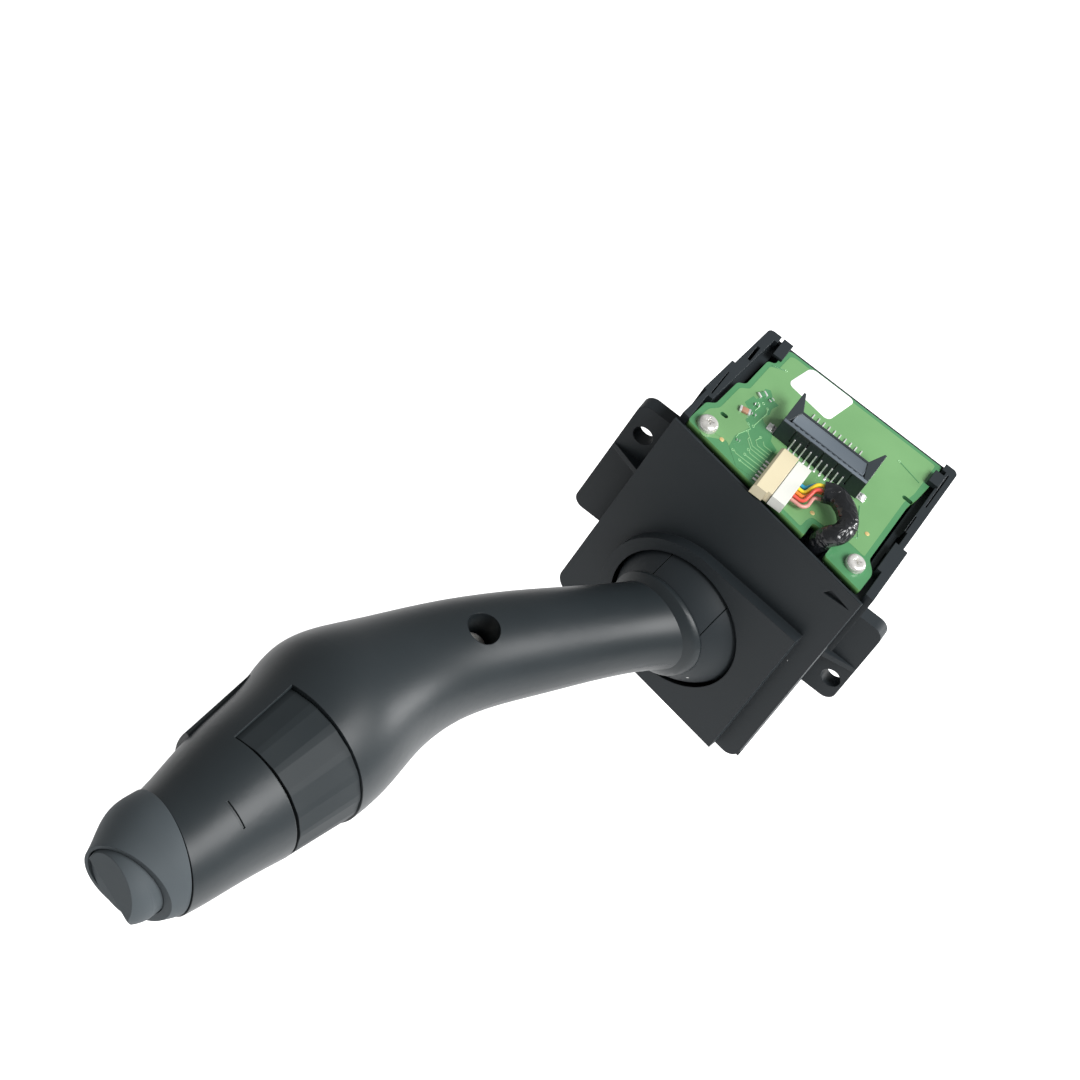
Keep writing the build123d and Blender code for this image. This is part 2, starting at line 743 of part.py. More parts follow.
def rocker_frame():
    """Two side caps of the dome with their cheek plates, joined by an upper and a lower bridge."""
    left, right = (side * (band_reach[side] + part_gap) for side in (-1, 1))
    shell = Sphere(dome_radius) - Sphere(dome_radius - dome_wall)
    cheeks = Part()
    for side in (-1, 1):
        cheek_outer = band_reach[side] + part_gap
        cheek_radius = sqrt(dome_radius ** 2 - (cheek_outer + dome_wall) ** 2) + 0.5
        near, beyond = sorted((side * cheek_outer, side * far))
        cheeks += shell & block(near, beyond, -far, cap_rear_y, -far, far)
        disc = Rot(0, side * 90, 0) * rod(cheek_radius, cheek_outer, cheek_outer + dome_wall)
        cheeks += disc & block(-far, far, -far, cap_rear_y, -far, far) & Sphere(dome_radius)
    bridge = Part()
    for side in (-1, 1):
        z0, z1 = sorted((side * bridge_inner_z, side * (bridge_inner_z + bridge_thickness)))
        bridge += block(left - 0.5, right + 0.5, bridge_front_y, bridge_rear_y, z0, z1)
    near_axis = block(left - dome_wall, right + dome_wall, -1, bridge_rear_y,
                      -bridge_inner_z - bridge_thickness, bridge_inner_z + bridge_thickness)
    near_axis -= block(left, right, -far, far, -far, far)
    frame = cheeks + bridge + near_axis
    frame -= Rot(0, 90, 0) * Cylinder(tilt_pin_radius, far)
    frame -= Cylinder(pivot_pin_radius, far)
    return gimbal_place * frame


def rocker_pins():
    """Upper and lower pivot pins, pressed into the bridges."""
    upper = rod(pivot_pin_radius, bridge_inner_z + 0.3, shelf_top - 0.4)
    lower = rod(pivot_pin_radius, plate_bottom + 0.3, -bridge_inner_z - 0.3)
    return gimbal_place * (upper + lower)


def tilt_pin():
    """Cross shaft that the arm tilts on, pressed into the cheek plates."""
    return gimbal_place * (Rot(0, 90, 0) * Cylinder(tilt_pin_radius, tilt_pin_reach * 2))


def neck_carrier():
    """Central band of the dome with its hub, the neck that enters the arm, and the tail."""
    slab = block(-band_reach[-1], band_reach[1], -far, far, -far, far)
    band = (Sphere(dome_radius) - Sphere(dome_radius - dome_wall)) & slab
    band &= block(-far, far, -far, band_end_y, -far, far)
    hub = Rot(0, 90, 0) * rod(hub_radius, -band_reach[-1] + 0.1, band_reach[1] - 0.1)
    web = block(-web_half_width, web_half_width, -dome_radius, 0, -web_half_height, web_half_height)
    web &= Sphere(dome_radius - 0.5)
    tail = Rot(90, 0, 0) * rod(tail_radius, -tail_length, 0)
    bore = Rot(90, 0, 0) * rod(plunger_radius + pin_clearance, -tail_length - 1, -tail_bore_start)
    body = gimbal_place * (band + hub + web + tail - bore)
    neck = stalk_place * neck_rod(neck_radius, 1.0, neck_length)
    inside = gimbal_place * Sphere(dome_radius + arm_start_clearance * 0.5)
    neck = (neck - inside) + (neck & inside & (gimbal_place * slab))
    neck -= gimbal_place * Sphere(dome_radius - dome_wall)
    body += neck
    return body - gimbal_place * (Rot(0, 90, 0) * Cylinder(tilt_pin_radius + pin_clearance, far))


def neck_rod(radius, start, end):
    """Rod along the arm's root, from the middle of the opening outwards."""
    plane = Plane(origin=(0, 0, 0), z_dir=heading(arm_root_turn), x_dir=across(arm_root_turn))
    return plane.location * rod(radius, start, end)


def detent_plunger():
    """Round-nosed plunger in the tail."""
    nose_centre = plunger_reach - plunger_radius
    body = rod(plunger_radius, plunger_reach - plunger_length, nose_centre)
    body += Pos(0, 0, nose_centre) * Sphere(plunger_radius)
    return gimbal_place * (Rot(-90, 0, 0) * body)


def coil(radius, wire_size, start, end, turns):
    """Compression spring along Z."""
    pitch = (end - start - 2 * wire_size) / turns
    path = Pos(0, 0, start + wire_size) * Helix(pitch, end - start - 2 * wire_size, radius)
    section = Plane(origin=path @ 0, z_dir=path % 0) * Circle(wire_size)
    return sweep(section, path=path)


def detent_spring():
    """Spring behind the plunger."""
    end = plunger_reach - plunger_length - pin_clearance
    spring = coil(plunger_radius - spring_wire_radius - 0.2, spring_wire_radius, tail_bore_start + 0.1, end, 3)
    return gimbal_place * (Rot(-90, 0, 0) * spring)


def detent_block():
    """Block with a spherical detent face, seated against the housing's rear wall."""
    half = detent_block_size / 2
    body = block(-half, half, tail_length, far, -half, half)
    body -= Sphere(plunger_reach + detent_gap)
    inner = half - detent_block_wall
    body -= block(-inner, inner, plunger_reach + detent_gap + detent_face_thickness, far, -inner, inner)
    rear = housing_rear_y - housing_wall
    return gimbal_place * body & block(-far, far, -far, rear, -far, far)


# Arm

def knob_section(station, radius, offset):
    """Section of the lever square to the knob's axis, shifted to the spine's side."""
    ahead = heading(knob_turn)
    sideways = across(knob_turn)
    x = knob_origin[0] + ahead[0] * station + sideways[0] * offset
    y = knob_origin[1] + ahead[1] * station + sideways[1] * offset
    return (x, y, radius, knob_turn)


def lever_form(inset):
    """Lever body as a loft through round sections, pulled in by inset."""
    sections = list(arm_sections) + [knob_section(*section) for section in knob_sections]
    faces = []
    for x, y, radius, turn in sections:
        plane = Plane(origin=(x, y, 0), z_dir=heading(turn), x_dir=across(turn))
        faces.append(plane * Circle(radius - inset))
    return loft(faces)


def knob_slice(start, end):
    """Slab square to the knob's axis, in the stalk's plane frame."""
    return knob_in_stalk * block(-far, far, -far, far, start, end)


def spine_wedge(start, end):
    """Wedge that holds the spine beside the twist ring."""
    reach = far / 2
    angle = radians(180 - spine_half_angle)
    corners = ((0, 0), (reach * cos(angle), reach * sin(angle)), (reach * cos(angle), -reach * sin(angle)))
    return knob_in_stalk * prism(corners, start, end)


def past_slanting_plane(station, tilt):
    """Everything past a plane across the knob's axis, tipped towards +X by tilt."""
    plane = Plane(origin=(0, 0, station), z_dir=(sin(radians(tilt)), 0, cos(radians(tilt))))
    return plane.location * block(-far, far, -far, far, 0, far)


def beyond_seam(offset):
    """Everything past the slanting seam between barrel and end cap, moved along the axis by offset."""
    return past_slanting_plane(cap_seam_station + offset, -cap_seam_tilt)


def ring_clear(start, end):
    """Room that the twist ring needs inside the spine."""
    slope = (ring_end_radius - ring_start_radius) / (ring_end - ring_start)
    first = ring_start_radius + spine_clearance + slope * (start - ring_start)
    last = ring_start_radius + spine_clearance + slope * (end - ring_start)
    return knob_in_stalk * cone(first, last, start, end)


def lever_shell():
    """Hollow lever from the dome to the end of the barrel, with the ring's window cut out."""
    outer = lever_form(0)
    outer += finger_rest()
    shell = outer - lever_form(arm_wall)
    for place in bulkhead_places:
        end = place + bulkhead_thickness
        rib = lever_form(arm_wall - wall_overlap) & knob_slice(place, end)
        shell += rib - knob_in_stalk * rod(core_radius + pin_clearance, place - 1, end + 1)
    window = knob_slice(window_start, barrel_start) - spine_wedge(window_start - 1, barrel_start + 1)
    shell -= window
    shell -= ring_clear(window_start, barrel_start)
    shell -= indicator_groove()
    shell -= knob_in_stalk * beyond_seam(0)
    dome_room = gimbal_in_stalk() * Sphere(dome_radius + arm_start_clearance)
    return shell - dome_room


def indicator_groove():
    """Short line pressed into the barrel, square to its axis."""
    half = indicator_width / 2
    skin = lever_form(-0.1) - lever_form(indicator_depth)
    reach = far / 2
    corners = [(reach * cos(radians(angle)), reach * sin(radians(angle))) for angle in indicator_angles]
    return skin & knob_in_stalk * prism([(0, 0)] + corners, indicator_station - half, indicator_station + half)


def gimbal_in_stalk():
    """The gimbal's centre, seen from the stalk's plane."""
    return stalk_place.inverse() * gimbal_place


def finger_rest():
    """Raised pad along the spine."""
    start = finger_rest_start
    end = start + finger_rest_length
    return knob_in_stalk * (cone(*finger_rest_radii, start, end) & prism(finger_rest_sector, start, end))


def screw_tube(radius, z0, z1):
    """Upright cylinder at the arm screw."""
    return Pos(*screw_place, 0) * rod(radius, z0, z1)


def arm_upper_shell():
    """Upper half of the arm, with the spine and the barrel in one moulding."""
    half = lever & block(-2 * far, far, -2 * far, far, 0, far)
    half += lever & knob_slice(window_start, far) & block(-2 * far, far, -2 * far, far, -far, 0.01)
    floor = screw_recess_floor
    under = floor - screw_recess_floor_thickness
    half += screw_tube(screw_recess_radius + boss_wall, under, far) & lever_form(boss_sink)
    half -= screw_tube(screw_recess_radius, floor, far)
    return stalk_place * (half - screw_tube(screw_shank_radius + part_gap, under - 1, floor + 1))


def arm_lower_shell():
    """Lower half of the arm, which ends at the twist ring."""
    half = lever & block(-2 * far, far, -2 * far, far, -far, -0.02) & knob_slice(-2 * far, window_start)
    under = screw_recess_floor - screw_recess_floor_thickness
    half += screw_tube(screw_shank_radius + boss_wall, -far, under - part_gap) & lever_form(boss_sink)
    return stalk_place * (half - screw_tube(screw_shank_radius + pin_clearance, -screw_length, under))


def arm_screw():
    """Screw that closes the two halves."""
    floor = screw_recess_floor
    head = screw_tube(screw_head_radius, floor, floor + screw_head_height)
    head = fillet(head.edges().group_by(Axis.Z)[-1], screw_head_rounding)
    shank = screw_tube(screw_shank_radius, floor - screw_length, floor + 0.1)
    recess = Pos(*screw_place, 0) * Rot(0, 0, screw_turn) * cross_recess(floor + screw_head_height, -1)
    return stalk_place * (head + shank - recess)


# Knob

def knob_core():
    """Tube that runs through the knob and carries the twist ring and the end knob."""
    inner = core_radius - core_wall
    tube = rod(core_radius, core_start, core_end) - rod(inner, core_start + core_wall, core_end + 1)
    return knob_place * tube


def contact_board():
    """Ring-shaped contact board in the barrel, on the core tube."""
    z0 = contact_board_place
    ring = rod(contact_board_radius, z0, z0 + contact_board_thickness)
    return knob_place * (ring - rod(core_radius + part_gap, z0 - 1, z0 + contact_board_thickness + 1))


def twist_ring():
    """Faceted ring on the core tube: an outer wall and a hub joined by a web."""
    height = ring_end - ring_start
    taper = degrees(asin((ring_start_radius - ring_end_radius) / height))
    polygon = RegularPolygon(ring_start_radius, ring_facets)
    facets = Pos(0, 0, ring_start) * extrude(polygon, height, taper=taper)
    blunt = cone(ring_start_radius - ring_crest, ring_end_radius - ring_crest, ring_start, ring_end)
    hub = core_radius + pin_clearance
    pocket = rod(ring_end_radius - ring_wall, 0, ring_pocket_depth) - rod(hub + ring_wall, 0, ring_pocket_depth)
    body = (facets & blunt) - Pos(0, 0, ring_start) * pocket - Pos(0, 0, ring_end - ring_pocket_depth) * pocket
    return knob_place * (body - rod(hub, ring_start - 1, ring_end + 1))


def shifted_circle(radius, station):
    """Circle on the shifted centre line of the end knob and button."""
    return Plane(origin=(button_offset, 0, station)) * Circle(radius)


def past_cap_end():
    """Everything past the end cap's rim, which slants the other way from its seam."""
    return past_slanting_plane(cap_end_station, cap_end_tilt)


def end_cap():
    """Cap on the barrel's slanting end: an eccentric skirt, a floor and a spigot in the core tube."""
    sections = [Plane(origin=(shift, 0, station)) * Circle(radius) for station, radius, shift in cap_sections]
    body = (loft(sections) & beyond_seam(cap_seam_gap)) - past_cap_end()
    recess_floor = button_start - button_travel - part_gap
    body -= Pos(button_offset, 0, 0) * rod(button_radius + part_gap, recess_floor, far)
    body -= rod(spring_room_radius, end_cap_floor, recess_floor + 1)
    body += rod(core_radius - core_wall - pin_clearance, spigot_start, end_cap_floor - wall_overlap)
    return knob_place * (body - rod(button_stem_radius + pin_clearance, spigot_start - 1, far))


def button_form():
    """Rounded end of the lever under a roof of two flat faces that meet in a ridge."""
    body = loft([shifted_circle(radius, station) for station, radius in button_sections])
    start_x, start_station = roof_start
    ridge = Pos(start_x, 0, start_station) * Rot(0, -roof_rise, 0)
    above = block(-far, far, -far, far, 0, far)
    return body - ridge * Rot(-roof_front_fall, 0, 0) * above - ridge * Rot(roof_rear_fall, 0, 0) * above


def tip_button():
    """Wedge-shaped push button with its skirt and stem."""
    skirt = Pos(button_offset, 0, 0) * rod(button_radius, button_start, button_face)
    stem = rod(button_stem_radius, button_stem_start, button_face)
    return knob_place * (button_form() + skirt + stem)


def button_spring():
    """Return spring round the button's stem."""
    start = end_cap_floor + pin_clearance
    end = button_start - pin_clearance
    return knob_place * coil(button_stem_radius + 1.0, spring_wire_radius, start, end, spring_coils)


lever = lever_shell()
pieces = {
    "front_plate": front_plate,
    "rear_housing": rear_housing,
    "base_cover": base_cover,
    "cover_screws": cover_screws,
    "circuit_board": circuit_board,
    "board_screws": board_screws,
    "header_body": header_body,
    "header_pins": header_pins,
    "header_tabs": header_tabs,
    "lead_socket": lead_socket,
    "socket_pins": socket_pins,
    "lead_plug": lead_plug,
    "small_parts": small_parts,
    "lead_sleeve": lead_sleeve,
    "rocker_frame": rocker_frame,
    "rocker_pins": rocker_pins,
    "tilt_pin": tilt_pin,
    "neck_carrier": neck_carrier,
    "detent_plunger": detent_plunger,
    "detent_spring": detent_spring,
    "detent_block": detent_block,
    "arm_upper_shell": arm_upper_shell,
    "arm_lower_shell": arm_lower_shell,
    "arm_screw": arm_screw,
    "knob_core": knob_core,
    "contact_board": contact_board,
    "twist_ring": twist_ring,
    "end_cap": end_cap,
    "tip_button": tip_button,
    "button_spring": button_spring,
}
for name, make in pieces.items():
    save(name, make())
for number, colour in enumerate(("blue", "yellow", "orange", "red", "brown")):
    save(f"wire_{colour}", wire(number))
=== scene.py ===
import bpy
import math
from mathutils import Matrix, Vector


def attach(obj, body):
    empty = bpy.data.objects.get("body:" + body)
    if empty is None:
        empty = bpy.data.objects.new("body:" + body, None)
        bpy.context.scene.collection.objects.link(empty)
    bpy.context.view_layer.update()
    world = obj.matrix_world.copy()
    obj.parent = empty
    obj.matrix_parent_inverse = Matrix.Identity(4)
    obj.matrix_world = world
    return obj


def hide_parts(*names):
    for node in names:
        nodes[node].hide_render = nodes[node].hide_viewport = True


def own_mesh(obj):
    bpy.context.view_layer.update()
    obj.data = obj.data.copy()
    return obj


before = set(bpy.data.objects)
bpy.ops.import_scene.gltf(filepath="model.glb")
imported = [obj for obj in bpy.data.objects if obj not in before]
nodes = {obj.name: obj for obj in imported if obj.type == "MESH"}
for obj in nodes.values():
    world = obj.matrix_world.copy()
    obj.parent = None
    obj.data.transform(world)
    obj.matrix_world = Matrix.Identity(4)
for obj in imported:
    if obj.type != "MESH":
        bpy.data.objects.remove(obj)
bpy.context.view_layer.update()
mm = 0.001
domeMiddle = Vector((-2.65, -15.0, -12.1))  # the dome's opening, in mm from the ear bolts' centre


def at(x, y, z):
    return (domeMiddle + Vector((x, y, z))) * mm


# Camera, lights and floor

cameraView = {
    "elevation": 46.0,
    "azimuth": -2.5,
    "roll": 35.9,
    "lens": 150.0,
    "sensor": 36.0,
    "nearest": 0.01,
    "farthest": 20.0,
    "standsAt": (-5.885, -618.785, 608.549),
}


def addCamera():
    data = bpy.data.cameras.new("photoCamera")
    data.lens = cameraView["lens"]
    data.sensor_width = cameraView["sensor"]
    data.clip_start = cameraView["nearest"]
    data.clip_end = cameraView["farthest"]
    camera = bpy.data.objects.new("photoCamera", data)
    bpy.context.scene.collection.objects.link(camera)
    turn = Matrix.Rotation(math.radians(-cameraView["azimuth"]), 4, "Z")
    turn = turn @ Matrix.Rotation(math.radians(90 - cameraView["elevation"]), 4, "X")
    turn = turn @ Matrix.Rotation(math.radians(cameraView["roll"]), 4, "Z")
    camera.matrix_world = Matrix.Translation(Vector(cameraView["standsAt"]) * mm) @ turn
    bpy.context.scene.camera = camera


studio = {
    "worldColour": (1.0, 1.0, 1.0),
    "worldStrength": 0.38,
    "floorDrop": 0.17,
    "floorSize": 12.0,
    "floorColour": (0.97, 0.97, 0.97),
    "floorRoughness": 0.9,
    "aim": (-15, -45, 0),  # the lights look at this point, in mm from the dome
    "lights": {  # direction, distance, width and power
        "keySoftbox": ((0.60, -0.10, 0.79), 1.5, 0.80, 38.0),
        "sideSoftbox": ((0.71, 0.64, 0.28), 0.9, 0.26, 5.2),
    },
}


def addAreaLight(name, toward, distance, width, power):
    data = bpy.data.lights.new(name, "AREA")
    data.shape = "RECTANGLE"
    data.size = width
    data.size_y = width
    data.energy = power
    light = bpy.data.objects.new(name, data)
    bpy.context.scene.collection.objects.link(light)
    direction = Vector(toward).normalized()
    light.location = at(*studio["aim"]) + direction * distance
    light.rotation_euler = direction.to_track_quat("Z", "Y").to_euler()


def addStudio():
    world = bpy.data.worlds.new("studioWorld")
    world.use_nodes = True
    sky = world.node_tree.nodes["Background"]
    sky.inputs["Color"].default_value = (*studio["worldColour"], 1)
    sky.inputs["Strength"].default_value = studio["worldStrength"]
    bpy.context.scene.world = world
    bpy.context.scene.view_settings.view_transform = "Standard"
    for name, settings in studio["lights"].items():
        addAreaLight(name, *settings)
    bpy.ops.mesh.primitive_plane_add(size=studio["floorSize"], location=(0, 0, -studio["floorDrop"]))
    floor = bpy.context.active_object
    floor.name = "studioFloor"
    bpy.ops.object.transform_apply(location=True, rotation=True, scale=True)
    paper, tree, shader = newMaterial("floorPaper")
    shader.inputs["Base Color"].default_value = (*studio["floorColour"], 1)
    shader.inputs["Roughness"].default_value = studio["floorRoughness"]
    floor.data.materials.append(paper)


# Material helpers

def newMaterial(name):
    material = bpy.data.materials.new(name)
    material.use_nodes = True
    tree = material.node_tree
    return material, tree, tree.nodes["Principled BSDF"]


def node(tree, kind, x=0, y=0, **settings):
    made = tree.nodes.new(kind)
    made.location = (x, y)
    for key, value in settings.items():
        setattr(made, key, value)
    return made


def join(tree, source, target):
    tree.links.new(source, target)


def addRamp(tree, fac, stops, x=0, y=0):
    ramp = node(tree, "ShaderNodeValToRGB", x, y)
    join(tree, fac, ramp.inputs["Fac"])
    while len(ramp.color_ramp.elements) < len(stops):
        ramp.color_ramp.elements.new(0.5)
    for element, (position, colour) in zip(ramp.color_ramp.elements, stops):
        element.position = position
        element.color = (*colour, 1)
    return ramp.outputs["Color"]


def addRange(tree, value, low, high, x=0, y=0):
    remap = node(tree, "ShaderNodeMapRange", x, y)
    join(tree, value, remap.inputs["Value"])
    remap.inputs["To Min"].default_value = low
    remap.inputs["To Max"].default_value = high
    return remap.outputs["Result"]


grainLook = {
    "grainDetail": 3.0,
    "grainRoughness": 0.6,
    "flowDetail": 4.0,
    "speckScale": 160.0,
    "speckRadius": 0.045,
    "speckCutoff": 0.56,  # specks show only where the flow is above this
    "toneStops": (0.3, 0.7),
}


def makeGrainGroup():
    group = bpy.data.node_groups.new("mouldedGrain", "ShaderNodeTree")
    group.interface.new_socket("Vector", in_out="INPUT", socket_type="NodeSocketVector")
    for name, value in (("Grain Size", 0.25), ("Flow Size", 14.0)):  # in mm
        socket = group.interface.new_socket(name, in_out="INPUT", socket_type="NodeSocketFloat")
        socket.default_value = value
    for name in ("Grain", "Flow", "Dust"):
        group.interface.new_socket(name, in_out="OUTPUT", socket_type="NodeSocketFloat")
    start = node(group, "NodeGroupInput", -900, 0)
    end = node(group, "NodeGroupOutput", 600, 0)

    def scaleFor(socketName, y):
        divide = node(group, "ShaderNodeMath", -650, y, operation="DIVIDE")
        divide.inputs[0].default_value = 1 / mm
        join(group, start.outputs[socketName], divide.inputs[1])
        return divide.outputs[0]

    def compare(source, operation, limit, y):
        test = node(group, "ShaderNodeMath", -100, y, operation=operation)
        join(group, source, test.inputs[0])
        test.inputs[1].default_value = limit
        return test.outputs[0]

    grain = node(group, "ShaderNodeTexNoise", -350, 200)
    join(group, start.outputs["Vector"], grain.inputs["Vector"])
    join(group, scaleFor("Grain Size", 200), grain.inputs["Scale"])
    grain.inputs["Detail"].default_value = grainLook["grainDetail"]
    grain.inputs["Roughness"].default_value = grainLook["grainRoughness"]
    join(group, grain.outputs["Fac"], end.inputs["Grain"])
    flow = node(group, "ShaderNodeTexNoise", -350, -100)
    join(group, start.outputs["Vector"], flow.inputs["Vector"])
    join(group, scaleFor("Flow Size", -100), flow.inputs["Scale"])
    flow.inputs["Detail"].default_value = grainLook["flowDetail"]
    join(group, flow.outputs["Fac"], end.inputs["Flow"])
    specks = node(group, "ShaderNodeTexVoronoi", -350, -400)
    join(group, start.outputs["Vector"], specks.inputs["Vector"])
    specks.inputs["Scale"].default_value = grainLook["speckScale"]
    both = node(group, "ShaderNodeMath", 150, -450, operation="MULTIPLY")
    join(group, compare(specks.outputs["Distance"], "LESS_THAN", grainLook["speckRadius"], -400), both.inputs[0])
    join(group, compare(flow.outputs["Fac"], "GREATER_THAN", grainLook["speckCutoff"], -600), both.inputs[1])
    join(group, both.outputs[0], end.inputs["Dust"])
    return group


grainGroup = makeGrainGroup()


def addGrain(tree, grainSize, flowSize):
    place = node(tree, "ShaderNodeTexCoord", -1200, 0)
    grain = node(tree, "ShaderNodeGroup", -950, 0)
    grain.node_tree = grainGroup
    join(tree, place.outputs["Object"], grain.inputs["Vector"])
    grain.inputs["Grain Size"].default_value = grainSize
    grain.inputs["Flow Size"].default_value = flowSize
    return grain


def addTone(tree, grain, dark, light):
    low, high = grainLook["toneStops"]
    return addRamp(tree, grain.outputs["Flow"], [(low, dark), (high, light)], -650, 200)


def addBump(tree, shader, height, strength, depth, edge=0.0):
    bump = node(tree, "ShaderNodeBump", -250, -400)
    if edge > 0:  # edges that catch the light as if they were rounded
        soft = node(tree, "ShaderNodeBevel", -500, -550, samples=4)
        soft.inputs["Radius"].default_value = edge * mm
        join(tree, soft.outputs["Normal"], bump.inputs["Normal"])
    bump.inputs["Strength"].default_value = strength
    bump.inputs["Distance"].default_value = depth * mm
    join(tree, height, bump.inputs["Height"])
    join(tree, bump.outputs["Normal"], shader.inputs["Normal"])


plasticLook = {
    "flowSize": 16.0,
    "bumpStrength": 0.35,
    "bumpDepth": 0.02,
    "dustBlue": 0.98,
}


def mouldedPlastic(name, dark, light, rough, grainSize, specular=0.5, dust=0.0, edge=0.22):
    material, tree, shader = newMaterial(name)
    grain = addGrain(tree, grainSize, plasticLook["flowSize"])
    tone = addTone(tree, grain, dark, light)
    if dust > 0:
        mix = node(tree, "ShaderNodeMix", -350, 200, data_type="RGBA")
        join(tree, grain.outputs["Dust"], mix.inputs["Factor"])
        join(tree, tone, mix.inputs[6])
        mix.inputs[7].default_value = (dust, dust, dust * plasticLook["dustBlue"], 1)
        tone = mix.outputs[2]
    join(tree, tone, shader.inputs["Base Color"])
    join(tree, addRange(tree, grain.outputs["Flow"], *rough, -650, -150), shader.inputs["Roughness"])
    shader.inputs["Specular IOR Level"].default_value = specular
    addBump(tree, shader, grain.outputs["Grain"], plasticLook["bumpStrength"], plasticLook["bumpDepth"], edge)
    return material


metalLook = {
    "grainSize": 0.15,
    "flowSize": 1.5,
    "metallic": 0.55,
    "bumpStrength": 0.3,
    "bumpDepth": 0.02,
    "edge": 0.08,
}


def platedMetal(name, dark, light, rough):
    material, tree, shader = newMaterial(name)
    grain = addGrain(tree, metalLook["grainSize"], metalLook["flowSize"])
    join(tree, addTone(tree, grain, dark, light), shader.inputs["Base Color"])
    join(tree, addRange(tree, grain.outputs["Flow"], *rough, -650, -150), shader.inputs["Roughness"])
    shader.inputs["Metallic"].default_value = metalLook["metallic"]
    addBump(tree, shader, grain.outputs["Grain"], metalLook["bumpStrength"], metalLook["bumpDepth"], metalLook["edge"])
    return material


sleeveLook = {
    "grainSize": 0.6,
    "flowSize": 3.0,
    "dark": (0.004, 0.005, 0.006),
    "light": (0.010, 0.011, 0.013),
    "rough": (0.12, 0.3),
    "creaseScale": 330.0,
    "creaseDetail": 1.0,
    "creaseBend": 0.9,
    "creaseStops": [(0.35, (0, 0, 0)), (0.5, (1, 1, 1)), (0.65, (0.2, 0.2, 0.2))],
    "bumpStrength": 0.45,
    "bumpDepth": 0.4,
}


def shrinkSleeve():
    material, tree, shader = newMaterial("shrinkSleeve")
    grain = addGrain(tree, sleeveLook["grainSize"], sleeveLook["flowSize"])
    join(tree, addTone(tree, grain, sleeveLook["dark"], sleeveLook["light"]), shader.inputs["Base Color"])
    join(tree, addRange(tree, grain.outputs["Flow"], *sleeveLook["rough"], -650, -150), shader.inputs["Roughness"])
    place = node(tree, "ShaderNodeTexCoord", -1400, -500)
    creases = node(tree, "ShaderNodeTexNoise", -1100, -500)
    join(tree, place.outputs["Object"], creases.inputs["Vector"])
    creases.inputs["Scale"].default_value = sleeveLook["creaseScale"]
    creases.inputs["Detail"].default_value = sleeveLook["creaseDetail"]
    creases.inputs["Distortion"].default_value = sleeveLook["creaseBend"]
    sharp = addRamp(tree, creases.outputs["Fac"], sleeveLook["creaseStops"], -800, -500)
    addBump(tree, shader, sharp, sleeveLook["bumpStrength"], sleeveLook["bumpDepth"])
    return material


# Finishes: dark tone, light tone, roughness from and to, then the grain's size in mm for the plastics

boxPlastic = mouldedPlastic("boxPlastic", (0.0150, 0.0195, 0.0225), (0.0185, 0.0230, 0.0265), (0.50, 0.58), 0.35,
                            dust=0.5, specular=0.20)
leverPlastic = mouldedPlastic("leverPlastic", (0.0150, 0.0195, 0.0220), (0.0180, 0.0230, 0.0260), (0.37, 0.43), 0.3,
                              specular=0.25)
ringPlastic = mouldedPlastic("ringPlastic", (0.016, 0.0205, 0.023), (0.021, 0.0255, 0.028), (0.50, 0.56), 0.3,
                             specular=0.15)
capPlastic = mouldedPlastic("capPlastic", (0.052, 0.063, 0.070), (0.062, 0.073, 0.080), (0.58, 0.66), 0.3,
                            specular=0.15)
slatePlastic = mouldedPlastic("slatePlastic", (0.014, 0.020, 0.024), (0.020, 0.027, 0.032), (0.35, 0.5), 0.2)
lidPlastic = mouldedPlastic("lidPlastic", (0.085, 0.105, 0.125), (0.105, 0.125, 0.145), (0.35, 0.45), 0.2)
creamPlastic = mouldedPlastic("creamPlastic", (0.52, 0.46, 0.305), (0.57, 0.51, 0.36), (0.4, 0.5), 0.2)
whitePlastic = mouldedPlastic("whitePlastic", (0.56, 0.57, 0.525), (0.61, 0.61, 0.57), (0.4, 0.5), 0.2)
bearingPlastic = mouldedPlastic("bearingPlastic", (0.50, 0.48, 0.42), (0.56, 0.54, 0.48), (0.4, 0.5), 0.2)
boardPour = mouldedPlastic("boardPour", (0.122, 0.262, 0.108), (0.143, 0.295, 0.125), (0.24, 0.34), 0.2, edge=0.0)
boardBand = mouldedPlastic("boardBand", (0.055, 0.190, 0.080), (0.075, 0.225, 0.100), (0.20, 0.32), 0.2, edge=0.0)
boardEdge = mouldedPlastic("boardEdge", (0.045, 0.150, 0.040), (0.120, 0.260, 0.070), (0.5, 0.7), 0.15, edge=0.0)
traceResist = mouldedPlastic("traceResist", (0.20, 0.42, 0.20), (0.25, 0.48, 0.24), (0.2, 0.3), 0.1, edge=0.0)
chipCeramic = mouldedPlastic("chipCeramic", (0.30, 0.15, 0.09), (0.44, 0.25, 0.17), (0.3, 0.5), 0.1)
labelPaper = mouldedPlastic("labelPaper", (0.80, 0.81, 0.80), (0.86, 0.87, 0.86), (0.35, 0.5), 0.15, edge=0.0)
goldDot = platedMetal("goldDot", (0.75, 0.55, 0.22), (0.90, 0.72, 0.38), (0.25, 0.4))
zincSteel = platedMetal("zincSteel", (0.50, 0.49, 0.46), (0.78, 0.77, 0.74), (0.18, 0.36))
tinPlate = platedMetal("tinPlate", (0.62, 0.63, 0.62), (0.84, 0.84, 0.83), (0.2, 0.35))
sleeveSkin = shrinkSleeve()

